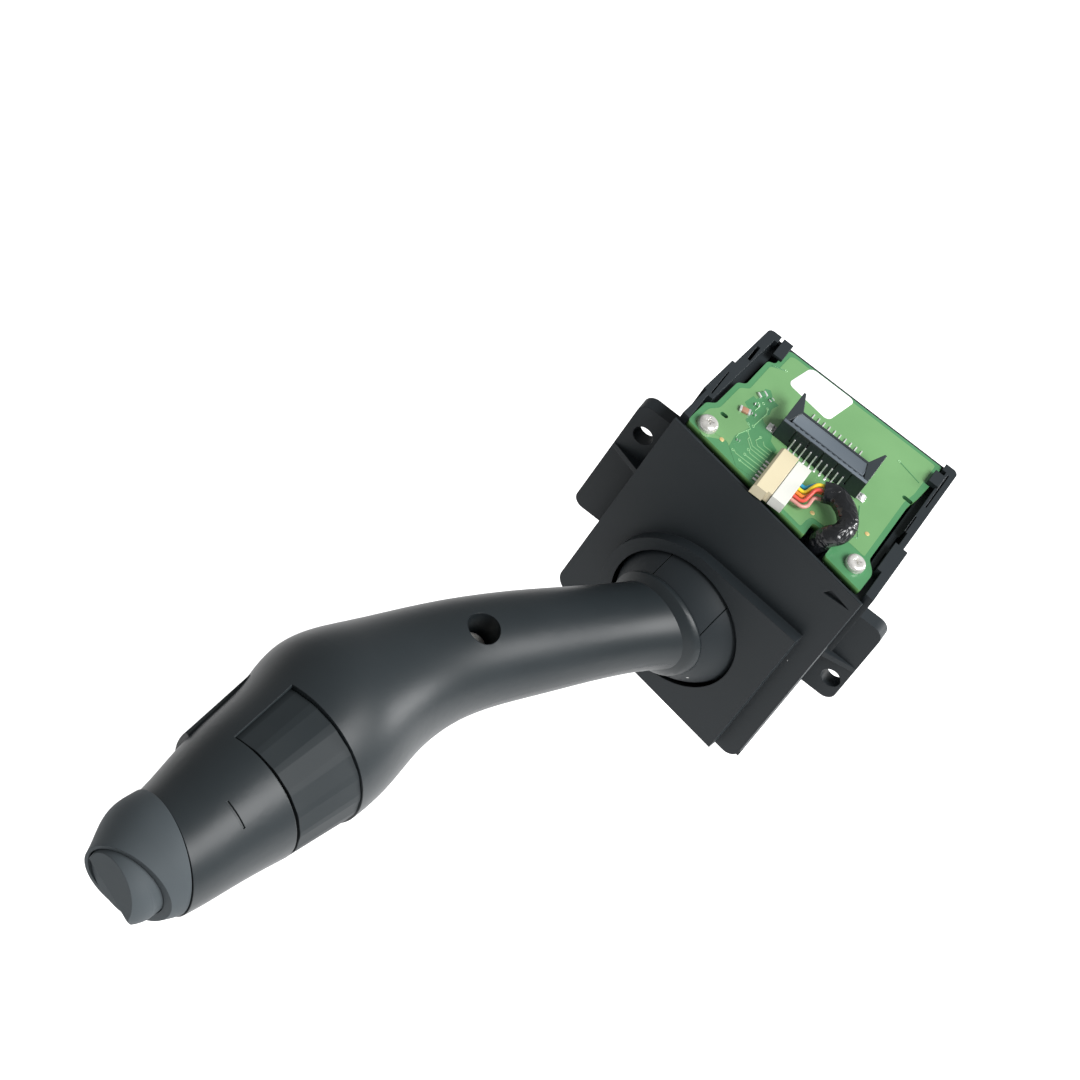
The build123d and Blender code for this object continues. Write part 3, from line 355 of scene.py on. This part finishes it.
finishes = {
    "front_plate": boxPlastic, "rear_housing": boxPlastic, "base_cover": boxPlastic, "cover_screws": zincSteel,
    "circuit_board": boardPour, "board_screws": zincSteel, "header_body": slatePlastic, "header_pins": tinPlate,
    "header_tabs": tinPlate, "lead_socket": creamPlastic, "socket_pins": tinPlate, "lead_plug": whitePlastic,
    "small_parts": chipCeramic, "lead_sleeve": sleeveSkin, "rocker_frame": boxPlastic, "rocker_pins": zincSteel,
    "tilt_pin": zincSteel, "neck_carrier": boxPlastic, "detent_plunger": bearingPlastic, "detent_spring": zincSteel,
    "detent_block": bearingPlastic, "arm_upper_shell": leverPlastic, "arm_lower_shell": leverPlastic,
    "arm_screw": zincSteel, "knob_core": bearingPlastic, "contact_board": boardPour, "twist_ring": ringPlastic,
    "end_cap": capPlastic, "tip_button": capPlastic, "button_spring": zincSteel,
}
wireInks = {
    "wire_blue": (0.02, 0.26, 0.44),
    "wire_yellow": (0.78, 0.58, 0.03),
    "wire_orange": (0.76, 0.20, 0.03),
    "wire_red": (0.58, 0.07, 0.05),
    "wire_brown": (0.48, 0.22, 0.19),
}
wireLook = {
    "lighter": 1.25,
    "lift": 0.01,
    "rough": (0.25, 0.4),
    "grainSize": 0.2,
}


def dress(piece, *materials):
    piece.data.materials.clear()
    for material in materials:
        piece.data.materials.append(material)


for nodeName, finish in finishes.items():
    dress(nodes[nodeName], finish)
for nodeName, ink in wireInks.items():
    lighter = tuple(min(1.0, channel * wireLook["lighter"] + wireLook["lift"]) for channel in ink)
    dress(nodes[nodeName], mouldedPlastic(nodeName + "Skin", ink, lighter, wireLook["rough"], wireLook["grainSize"]))
print("materials on", len(finishes) + len(wireInks), "nodes")


# Modelling helpers

def clearSelection():
    if bpy.context.mode != "OBJECT":
        bpy.ops.object.mode_set(mode="OBJECT")
    bpy.ops.object.select_all(action="DESELECT")


def pickOnly(piece):
    clearSelection()
    piece.select_set(True)
    bpy.context.view_layer.objects.active = piece


def takePiece(name):
    made = bpy.context.active_object
    made.name = name
    made.data.name = name
    return made


def settle(piece):
    pickOnly(piece)
    bpy.ops.object.transform_apply(location=True, rotation=True, scale=True)


def openFaces(piece, test):
    pickOnly(piece)
    bpy.ops.object.mode_set(mode="EDIT")
    bpy.ops.mesh.select_mode(type="FACE")
    bpy.ops.mesh.select_all(action="DESELECT")
    bpy.ops.object.mode_set(mode="OBJECT")
    for face in piece.data.polygons:
        face.select = test(face.center, face.normal)
    bpy.ops.object.mode_set(mode="EDIT")


def closeEdit():
    bpy.ops.object.mode_set(mode="OBJECT")


def pullFaces(x, y, z):
    bpy.ops.mesh.extrude_region_move(TRANSFORM_OT_translate={"value": (x * mm, y * mm, z * mm)})


def addBlock(name, low, high):
    clearSelection()
    bpy.ops.mesh.primitive_cube_add(size=1, location=(at(*low) + at(*high)) / 2)
    piece = takePiece(name)
    piece.scale = [(far - near) * mm for near, far in zip(low, high)]
    settle(piece)
    return piece


def addBall(name, middle, size, segments, rings):
    clearSelection()
    bpy.ops.mesh.primitive_uv_sphere_add(segments=segments, ring_count=rings, radius=1, location=at(*middle))
    piece = takePiece(name)
    piece.scale = [part * mm for part in size]
    settle(piece)
    return piece


smoothAngle = 40


def softenEdges(piece, width, segments=2, angle=30):
    pickOnly(piece)
    bevel = piece.modifiers.new("softEdges", "BEVEL")
    bevel.width = width * mm
    bevel.segments = segments
    bevel.limit_method = "ANGLE"
    bevel.angle_limit = math.radians(angle)
    bpy.ops.object.modifier_apply(modifier=bevel.name)
    bpy.ops.object.shade_smooth_by_angle(angle=math.radians(smoothAngle))


def copyAt(piece, shift, turn=0.0, about=Vector((0, 0, 0))):
    twin = piece.copy()
    twin.data = piece.data.copy()
    bpy.context.scene.collection.objects.link(twin)
    place = Matrix.Translation(Vector(shift) * mm + about) @ Matrix.Rotation(math.radians(turn), 4, "Z")
    twin.data.transform(place @ Matrix.Translation(-about))
    return twin


def joinPieces(name, pieces):
    clearSelection()
    for piece in pieces:
        piece.select_set(True)
    bpy.context.view_layer.objects.active = pieces[0]
    bpy.ops.object.join()
    return takePiece(name)


def meshFromCurve(name, curve):
    piece = bpy.data.objects.new(name, curve)
    bpy.context.scene.collection.objects.link(piece)
    pickOnly(piece)
    bpy.ops.object.convert(target="MESH")
    return takePiece(name)


def flatShape(name, points, z, thickness):
    curve = bpy.data.curves.new(name, "CURVE")
    curve.dimensions = "2D"
    curve.fill_mode = "BOTH"
    curve.extrude = thickness * mm / 2
    spline = curve.splines.new("POLY")
    spline.points.add(len(points) - 1)
    for point, (x, y) in zip(spline.points, points):
        point.co = (*at(x, y, 0).xy, 0, 1)
    spline.use_cyclic_u = True
    piece = meshFromCurve(name, curve)
    piece.location = (0, 0, at(0, 0, z + thickness / 2).z)
    settle(piece)
    return piece


def thinLines(name, lines, z, width):
    curve = bpy.data.curves.new(name, "CURVE")
    curve.dimensions = "3D"
    curve.bevel_depth = width * mm / 2
    curve.bevel_resolution = 1
    for line in lines:
        spline = curve.splines.new("POLY")
        spline.points.add(len(line) - 1)
        for point, (x, y) in zip(spline.points, line):
            point.co = (*at(x, y, z), 1)
    piece = meshFromCurve(name, curve)
    bpy.ops.object.shade_smooth()
    return piece


def roundCorners(piece, radius, segments=4):  # rounds the upright edges
    pickOnly(piece)
    bpy.ops.object.mode_set(mode="EDIT")
    bpy.ops.mesh.select_mode(type="EDGE")
    bpy.ops.mesh.select_all(action="SELECT")
    bpy.ops.mesh.remove_doubles(threshold=0.001 * mm)
    bpy.ops.mesh.dissolve_limited(angle_limit=math.radians(0.5))
    bpy.ops.mesh.select_all(action="DESELECT")
    bpy.ops.object.mode_set(mode="OBJECT")
    points = piece.data.vertices
    for edge in piece.data.edges:
        first, second = (points[index].co for index in edge.vertices)
        edge.select = (first.xy - second.xy).length < 0.001 * mm
    bpy.ops.object.mode_set(mode="EDIT")
    bpy.ops.mesh.bevel(offset=radius * mm, segments=segments, affect="EDGES")
    bpy.ops.object.mode_set(mode="OBJECT")


def cutWith(piece, cutter, mode="DIFFERENCE"):
    pickOnly(piece)
    cut = piece.modifiers.new("cut", "BOOLEAN")
    cut.operation = mode
    cut.object = cutter
    cut.solver = "EXACT"
    bpy.ops.object.modifier_apply(modifier=cut.name)


# Circuit board

board = {
    "top": 36.5,
    "thickness": 1.6,
    "outline": ((-20.6, 8.3), (-20.6, 9.7), (-20.1, 15.1), (-18.5, 16.6), (-17.8, 24.8), (-16.3, 25.9), (-15.8, 34.7),
                (-14.3, 35.4), (-14.2, 39.8), (-13.4, 40.9), (23.2, 40.9), (23.2, 38.4), (23.5, 36.0), (23.0, 30.0),
                (22.3, 26.4), (22.3, 8.3), (23.9, 6.4), (24.4, 5.2), (24.3, 0.0), (15.1, 1.7), (15.1, 6.8), (9.7, 6.8),
                (9.7, 2.7)),
    "cornerRadius": 0.55,
    "pour": ((-19.5, 9.0), (-19.6, 9.8), (-18.9, 14.2), (-17.4, 16.2), (-16.8, 24.0), (-15.2, 25.4), (-14.8, 33.9),
             (-13.2, 34.8), (-12.9, 39.6), (-11.9, 40.1), (22.0, 40.1), (22.0, 38.2), (21.9, 30.2), (21.2, 26.4),
             (21.2, 8.0), (17.2, 8.6), (15.8, 7.9), (9.0, 7.9), (8.4, 6.6), (8.2, 4.0), (-9.0, 7.2), (-12.6, 10.2),
             (-16.6, 7.2)),
    "pourRadius": 0.5,
    "pourLift": 0.001,
    "pourThickness": 0.03,
    "slots": {"pegSlot": ((-15.9, 15.3), (1.7, 1.0)), "sideSlot": ((21.5, 27.7), (2.4, 1.0))},  # middle and size
    "slotReach": (3, 1),  # the cutter, below and above the board's top
    "slotRound": 0.48,  # share of the slot's width
}


def modelBoard():
    top, thick = board["top"], board["thickness"]
    panel = flatShape("boardPanel", board["outline"], top - thick, thick)
    roundCorners(panel, board["cornerRadius"])
    dress(panel, boardBand, boardEdge)
    openFaces(panel, lambda centre, normal: abs(normal.z) < 0.5)
    panel.active_material_index = 1
    bpy.ops.object.material_slot_assign()
    closeEdit()
    pour = flatShape("boardPourArea", board["pour"], top + board["pourLift"], board["pourThickness"])
    roundCorners(pour, board["pourRadius"])
    dress(pour, boardPour)
    below, above = board["slotReach"]
    for name, ((x, y), (long, wide)) in board["slots"].items():
        cutter = addBlock(name, (x - long / 2, y - wide / 2, top - below), (x + long / 2, y + wide / 2, top + above))
        roundCorners(cutter, wide * board["slotRound"], 6)
        cutWith(panel, cutter)
        cutWith(pour, cutter)
        bpy.data.objects.remove(cutter)
    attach(panel, "housing")
    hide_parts("circuit_board")
    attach(pour, "housing")


traces = {
    "width": 0.22,
    "lift": 0.03,
    "gapLift": 0.02,
    "channelLift": 0.005,
    "channelThickness": 0.035,
    "lines": (
        ((-4.5, 8.0), (-8.4, 8.0)),
        ((-4.5, 8.9), (-9.8, 8.9), (-10.5, 9.4)),
        ((-4.5, 10.1), (-8.2, 10.1)),
        ((-4.5, 11.2), (-7.6, 11.2), (-8.2, 11.8)),
        ((-4.5, 12.3), (-8.0, 12.3), (-9.6, 13.9), (-9.6, 14.8)),
        ((-4.5, 13.2), (-8.1, 13.2), (-9.9, 15.0), (-10.5, 15.6)),
        ((-4.5, 14.1), (-7.4, 14.1), (-8.3, 15.0), (-7.9, 16.4)),
        ((-4.5, 15.2), (-6.4, 15.2), (-7.0, 16.0)),
        ((-11.6, 12.4), (-11.6, 13.6), (-10.4, 16.6), (-11.3, 17.3)),
        ((-10.3, 17.8), (-9.7, 22.5), (-10.2, 23.9)),
        ((-11.9, 21.4), (-11.6, 23.2), (-12.1, 23.6)),
    ),
    "gaps": (
        ((14.8, 18.2), (18.1, 10.9), (16.3, 9.4)),
        ((16.2, 34.8), (21.4, 33.4)),
        ((-12.2, 35.4), (-14.6, 34.4)),
    ),
    "channel": ((-14.4, 21.6), (-13.8, 24.4), (-12.9, 24.3), (-12.6, 26.6), (-12.9, 28.0), (-11.9, 28.6), (-10.2, 26.8),
                (-8.9, 26.6), (-9.5, 24.6), (-9.2, 23.0), (-9.9, 21.4), (-9.2, 20.4), (-6.6, 19.4), (-5.9, 17.4),
                (-4.0, 16.4), (-4.0, 6.6), (-8.2, 6.2), (-11.6, 9.4), (-11.9, 12.6), (-10.6, 17.0), (-12.2, 17.8),
                (-12.2, 20.2)),
}


def modelTraces():
    top = board["top"]
    lines = thinLines("boardTraces", traces["lines"], top + traces["lift"], traces["width"])
    dress(lines, traceResist)
    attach(lines, "housing")
    gaps = thinLines("pourGaps", traces["gaps"], top + traces["gapLift"], traces["width"])
    dress(gaps, boardBand)
    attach(gaps, "housing")
    channel = flatShape("boardChannel", traces["channel"], top + traces["channelLift"], traces["channelThickness"])
    dress(channel, boardBand)
    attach(channel, "housing")


vias = {
    "lift": 0.05,
    "radius": 0.24,
    "ringWidth": 0.07,
    "flatness": 0.5,
    "dotRadius": 0.5,
    "dotThickness": 0.06,
    "dotEdge": 0.02,
    "places": ((-10.6, 9.2), (-8.3, 11.8), (-8.4, 8.1), (-8.3, 10.2), (-10.6, 15.7), (-7.9, 16.5), (-11.3, 17.4),
               (-10.3, 17.7), (-12.1, 23.6), (-11.4, 24.4), (-10.2, 23.9), (15.9, 34.9), (-11.9, 35.6)),
    "dots": ((-13.4, 9.6), (19.1, 13.4), (8.5, 8.8)),
}


def modelVias():
    middle = at(0, 0, board["top"] + vias["lift"])
    clearSelection()
    bpy.ops.mesh.primitive_torus_add(location=middle, major_radius=vias["radius"] * mm,
                                     minor_radius=vias["ringWidth"] * mm, major_segments=14, minor_segments=6)
    ring = takePiece("viaRing")
    settle(ring)
    openFaces(ring, lambda centre, normal: normal.z > 0)
    bpy.ops.transform.resize(value=(1, 1, vias["flatness"]), center_override=middle)
    closeEdit()
    rings = [copyAt(ring, (x, y, 0)) for x, y in vias["places"]]
    bpy.data.objects.remove(ring)
    rings = joinPieces("boardVias", rings)
    dress(rings, traceResist)
    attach(rings, "housing")
    clearSelection()
    bpy.ops.mesh.primitive_cylinder_add(vertices=20, radius=vias["dotRadius"] * mm, depth=vias["dotThickness"] * mm,
                                        location=middle)
    dot = takePiece("goldDot")
    settle(dot)
    softenEdges(dot, vias["dotEdge"])
    dots = [copyAt(dot, (x, y, 0)) for x, y in vias["dots"]]
    bpy.data.objects.remove(dot)
    dots = joinPieces("boardDots", dots)
    dress(dots, goldDot)
    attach(dots, "housing")


label = {
    "corners": ((-10.2, 33.2), (0.3, 31.6), (2.25, 40.7), (-8.4, 40.7)),
    "lift": 0.07,
    "frontUpTo": 36,
    "cornerRadius": 1.3,
    "thickness": 0.12,
    "softEdge": 0.03,
}


def modelLabel():
    clearSelection()
    bpy.ops.mesh.primitive_plane_add(size=0.01)
    paper = takePiece("blankLabel")
    order = sorted(paper.data.vertices, key=lambda v: math.atan2(v.co.y, v.co.x))
    for vertex, (x, y) in zip(order, label["corners"]):
        vertex.co = at(x, y, board["top"] + label["lift"])
    pickOnly(paper)
    for vertex in paper.data.vertices:
        vertex.select = vertex.co.y < at(0, label["frontUpTo"], 0).y  # the front two corners are rounded
    bpy.ops.object.mode_set(mode="EDIT")
    bpy.ops.mesh.select_mode(type="VERT")
    bpy.ops.mesh.bevel(offset=label["cornerRadius"] * mm, segments=6, affect="VERTICES")
    bpy.ops.mesh.select_all(action="SELECT")
    bpy.ops.mesh.normals_make_consistent(inside=False)
    closeEdit()
    thick = paper.modifiers.new("paper", "SOLIDIFY")
    thick.thickness = label["thickness"] * mm
    thick.offset = 1.0
    bpy.ops.object.modifier_apply(modifier=thick.name)
    softenEdges(paper, label["softEdge"])
    dress(paper, labelPaper)
    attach(paper, "housing")


modelBoard()
modelTraces()
modelVias()
modelLabel()
print("board panel, traces, vias and blank label made")


# Surface-mounted parts

chips = {
    "places": (  # x, y, turn, length, and whether it is brown or green
        (-13.35, 19.5, 16, 2.3, "brown"),
        (-12.6, 26.0, 60, 1.9, "green"),
        (-10.6, 26.3, 75, 1.1, "green"),
        (-11.6, 20.2, 16, 0.9, "green"),
        (-10.9, 12.0, 20, 0.7, "green"),
        (-12.2, 22.8, 10, 1.0, "green"),
    ),
    "halfDepth": 0.28,  # shares of the length
    "bodyShare": 0.62,
    "endShare": 0.58,
    "slope": 0.14,
    "height": 0.25,
    "endSwell": 1.08,
    "endLift": 0.03,
    "bodyEdge": 0.04,
    "endEdge": 0.06,
}


def modelChips():
    bodies, ends = [], []
    bottom, middle = board["top"], at(0, 0, 0)
    for x, y, turn, length, colour in chips["places"]:
        half, deep = length / 2, length * chips["halfDepth"]
        top = bottom + chips["height"] + length * chips["slope"]
        reach = half * chips["bodyShare"]
        body = addBlock("chipBody", (-reach, -deep, bottom), (reach, deep, top))
        softenEdges(body, chips["bodyEdge"])
        bodies.append(copyAt(body, (x, y, 0), turn, about=middle))
        bpy.data.objects.remove(body)
        dress(bodies[-1], chipCeramic if colour == "brown" else boardBand)
        for side in (-1, 1):
            low, high = sorted((side * half, side * half * chips["endShare"]))
            wide = deep * chips["endSwell"]
            end = addBlock("chipEnd", (low, -wide, bottom), (high, wide, top + chips["endLift"]))
            softenEdges(end, chips["endEdge"])
            ends.append(copyAt(end, (x, y, 0), turn, about=middle))
            bpy.data.objects.remove(end)
    bodies = joinPieces("chipBodies", bodies)
    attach(bodies, "housing")
    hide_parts("small_parts")
    ends = joinPieces("chipEnds", ends)
    dress(ends, tinPlate)
    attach(ends, "housing")


# Board screws

screws = {
    "places": ((-17.2, 10.1), (20.6, 4.5)),
    "headRadius": 2.05,
    "headHeight": 1.5,
    "domeShare": 0.55,
    "shankRadius": 1.0,
    "shankLength": 6.8,
    "turn": 25,
    "recess": (1.15, 0.24, 1.1),  # shares of the head's radius, radius and height
    "recessTaper": 0.45,
    "softEdge": 0.05,
}


def crossHeadScrew():
    radius, height = screws["headRadius"], screws["headHeight"]
    clearSelection()
    bpy.ops.mesh.primitive_cylinder_add(vertices=40, radius=radius * mm, depth=height * mm,
                                        location=(0, 0, height * mm / 2))
    screw = takePiece("boardScrew")
    settle(screw)
    openFaces(screw, lambda centre, normal: normal.z > 0.9)
    bpy.ops.mesh.bevel(offset=height * screws["domeShare"] * mm, segments=5, affect="EDGES")
    closeEdit()
    openFaces(screw, lambda centre, normal: normal.z < -0.9)
    bpy.ops.mesh.inset(thickness=(radius - screws["shankRadius"]) * mm)
    pullFaces(0, 0, -screws["shankLength"])
    closeEdit()
    long, wide, deep = screws["recess"]
    for angle in (0, 90):
        clearSelection()
        bpy.ops.mesh.primitive_cube_add(size=1, location=(0, 0, height * mm))
        arm = takePiece("recessArm")
        arm.scale = (radius * long * mm, radius * wide * mm, height * deep * mm)
        arm.rotation_euler = (0, 0, math.radians(angle + screws["turn"]))
        settle(arm)
        openFaces(arm, lambda centre, normal: normal.z < -0.9)
        bpy.ops.transform.resize(value=(screws["recessTaper"], screws["recessTaper"], 1), center_override=(0, 0, 0))
        closeEdit()
        cutWith(screw, arm)
        bpy.data.objects.remove(arm)
    softenEdges(screw, screws["softEdge"], 2, 35)
    return screw


def modelScrews():
    screw = crossHeadScrew()
    both = [copyAt(screw, at(x, y, board["top"]) / mm) for x, y in screws["places"]]
    bpy.data.objects.remove(screw)
    both = joinPieces("boardScrews", both)
    dress(both, zincSteel)
    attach(both, "housing")
    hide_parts("board_screws")


modelChips()
modelScrews()
print("chips and screws made")


# Collar at the arm's root

collar = {
    "domeMiddle": (1.576, 8.505, 0.0),
    "armStart": (0.2, -0.2, 0.0),
    "turn": 37.0,
    "tilt": 8.0,
    "radius": 10.5,
    "length": 24,
    "ahead": 4,  # the disc's middle, along the arm
    "innerReach": 16.4,
    "outerReach": 17.05,
    "softEdge": 0.3,
}


def modelCollar():
    turn, tilt = math.radians(collar["turn"]), math.radians(collar["tilt"])
    heading = Matrix.Rotation(tilt, 3, "X") @ Vector((-math.sin(turn), -math.cos(turn), 0))
    clearSelection()
    bpy.ops.mesh.primitive_cylinder_add(vertices=96, radius=collar["radius"] * mm, depth=collar["length"] * mm,
                                        location=at(*collar["armStart"]) + heading * collar["ahead"] * mm)
    disc = takePiece("armRootCollar")
    disc.rotation_euler = heading.to_track_quat("Z", "Y").to_euler()
    settle(disc)
    for reach, mode in ((collar["outerReach"], "INTERSECT"), (collar["innerReach"], "DIFFERENCE")):
        ball = addBall("cutter", collar["domeMiddle"], (reach, reach, reach), 96, 64)
        cutWith(disc, ball, mode)
        bpy.data.objects.remove(ball)
    softenEdges(disc, collar["softEdge"], 3, 40)
    dress(disc, leverPlastic)
    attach(disc, "arm")


modelCollar()
print("collar made")


# Springs, copied from their CAD nodes and riding on the arm

springs = {
    "joints": {"button_spring": "tip_press", "detent_spring": "plunger_slide"},
    "names": {"button_spring": "buttonReturnSpring", "detent_spring": "plungerSpring"},
    "clearance": 0.05,
}


def modelSprings():
    for nodeName, jointName in springs["joints"].items():
        source = nodes[nodeName]
        clearSelection()
        spring = source.copy()
        spring.data = source.data.copy()
        spring.parent = None
        bpy.context.scene.collection.objects.link(spring)
        spring.data.transform(source.matrix_world)
        spring.matrix_world = Matrix.Identity(4)
        spring.name = springs["names"][nodeName]
        openFaces(spring, lambda centre, normal: True)
        bpy.ops.mesh.remove_doubles(threshold=0.001 * mm)
        closeEdit()
        dress(spring, zincSteel)
        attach(spring, "arm")
        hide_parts(nodeName)
        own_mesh(spring)


modelSprings()
print("springs made")


# Header

header = {
    "left": -6.5,
    "right": 13.3,
    "front": 19.0,
    "rear": 24.3,
    "height": 4.8,
    "pitch": 1.27,
    "lidInset": (1.5, 1.45, 0.35),  # at the sides, the front and the rear
    "lidHeights": (-1.35, -0.12),
    "lidRim": 0.25,
    "lidSink": 0.06,
    "lidEdge": 0.06,
    "teeth": 14,
    "firstTooth": 1.6,
    "toothWidth": 0.62,
    "toothDepths": (0.75, 1.2),
    "toothHeights": (-0.8, -0.1),
    "toothEdge": 0.05,
    "railDepths": (0.05, 0.85),
    "railHeights": (-0.3, 0.04),
    "railInset": 0.1,
    "railEdge": 0.08,
}


def modelHeader():
    top = board["top"] + header["height"]
    left, right, front, rear = header["left"], header["right"], header["front"], header["rear"]
    side, frontInset, rearInset = header["lidInset"]
    low, high = header["lidHeights"]
    lid = addBlock("headerLid", (left + side, front + frontInset, top + low),
                   (right - side, rear - rearInset, top + high))
    openFaces(lid, lambda centre, normal: normal.z > 0.9)
    bpy.ops.mesh.inset(thickness=header["lidRim"] * mm)
    pullFaces(0, 0, -header["lidSink"])
    closeEdit()
    softenEdges(lid, header["lidEdge"])
    dress(lid, lidPlastic)
    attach(lid, "housing")
    pieces = []
    near, far = header["toothDepths"]
    low, high = header["toothHeights"]
    for index in range(header["teeth"]):
        x = left + header["firstTooth"] + index * header["pitch"]
        tooth = addBlock("rimTooth", (x, front + near, top + low), (x + header["toothWidth"], front + far, top + high))
        softenEdges(tooth, header["toothEdge"])
        pieces.append(tooth)
    near, far = header["railDepths"]
    low, high = header["railHeights"]
    rail = addBlock("rimRail", (left + header["railInset"], front + near, top + low),
                    (right - header["railInset"], front + far, top + high))
    softenEdges(rail, header["railEdge"])
    pieces.append(rail)
    rim = joinPieces("headerRim", pieces)
    dress(rim, lidPlastic)
    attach(rim, "housing")


pins = {
    "count": 10,
    "middle": 3.3,
    "softEdge": 0.05,
    "frontHalfWidth": 0.15,
    "frontDepths": (-0.95, -0.30),
    "frontHeights": (0.02, 0.27),
    "frontFoot": 0.26,
    "frontRise": 2.5,
    "rearHalfWidth": 0.2,
    "rearDepths": (0.02, 1.2),
    "rearHeights": (0.3, 0.55),
    "rearStep": (0.7, -0.27),
    "rearRun": 4.4,
    "rearTaper": 0.6,
}


def pinPlaces():
    first = pins["middle"] - (pins["count"] - 1) / 2 * header["pitch"]
    return [first + index * header["pitch"] for index in range(pins["count"])]


def frontPin(x):
    front, half = header["front"], pins["frontHalfWidth"]
    near, far = pins["frontDepths"]
    low, high = (board["top"] + height for height in pins["frontHeights"])
    pin = addBlock("frontPin", (x - half, front + near, low), (x + half, front + far, high))
    openFaces(pin, lambda centre, normal: normal.y > 0.9)
    pullFaces(0, pins["frontFoot"], 0)
    closeEdit()
    openFaces(pin, lambda centre, normal: normal.z > 0.9 and centre.y > at(0, front + far, 0).y)
    pullFaces(0, 0, pins["frontRise"])
    closeEdit()
    return pin


def rearPin(x):
    rear, half = header["rear"], pins["rearHalfWidth"]
    near, far = pins["rearDepths"]
    low, high = (board["top"] + height for height in pins["rearHeights"])
    pin = addBlock("rearPin", (x - half, rear + near, low), (x + half, rear + far, high))
    openFaces(pin, lambda centre, normal: normal.y > 0.9)
    pullFaces(0, *pins["rearStep"])
    pullFaces(0, pins["rearRun"], 0)
    bpy.ops.transform.resize(value=(pins["rearTaper"], 1, 1), center_override=at(x, 0, board["top"]))
    closeEdit()
    return pin


def modelPins():
    made = []
    for x in pinPlaces():
        for pin in (frontPin(x), rearPin(x)):
            softenEdges(pin, pins["softEdge"])
            made.append(pin)
    made = joinPieces("headerPins", made)
    dress(made, tinPlate)
    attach(made, "housing")
    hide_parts("header_pins")


solder = {
    "jointSize": (0.30, 0.5, 0.16),
    "jointDepth": -0.75,
    "tabMiddles": (-7.35, 14.15),
    "tabHalfWidth": 0.85,
    "tabDepths": (0.2, 2.2),
    "tabHeights": (0.02, 0.3),
    "tabEdge": 0.08,
    "tabBlobs": ((19.8, 0.62), (20.7, 0.55)),  # y and size
    "blobDepth": 0.8,
    "blobHeight": 0.5,
    "blobLift": 0.25,
    "lumpSize": 0.4,
    "lumpHeight": 0.12,
}


def modelSolder():
    top, front = board["top"], header["front"]
    blobs = [addBall("solder", (x, front + solder["jointDepth"], top), solder["jointSize"], 12, 8)
             for x in pinPlaces()]
    near, far = solder["tabDepths"]
    low, high = solder["tabHeights"]
    for x in solder["tabMiddles"]:
        half = solder["tabHalfWidth"]
        tab = addBlock("tabPlate", (x - half, front + near, top + low), (x + half, front + far, top + high))
        softenEdges(tab, solder["tabEdge"])
        blobs.append(tab)
        for y, size in solder["tabBlobs"]:
            shape = (size, size * solder["blobDepth"], solder["blobHeight"])
            blobs.append(addBall("solder", (x, y, top + solder["blobLift"]), shape, 14, 8))
    blobs = joinPieces("solderJoints", blobs)
    pickOnly(blobs)
    lumps = bpy.data.textures.new("solderLumps", "CLOUDS")
    lumps.noise_scale = solder["lumpSize"] * mm
    uneven = blobs.modifiers.new("uneven", "DISPLACE")
    uneven.texture = lumps
    uneven.texture_coords = "LOCAL"
    uneven.strength = solder["lumpHeight"] * mm
    bpy.ops.object.modifier_apply(modifier=uneven.name)
    bpy.ops.object.shade_smooth()
    dress(blobs, tinPlate)
    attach(blobs, "housing")
    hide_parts("header_tabs")


modelHeader()
modelPins()
modelSolder()
print("header, pins and solder joints made")

addCamera()
addStudio()
print("camera and studio set")
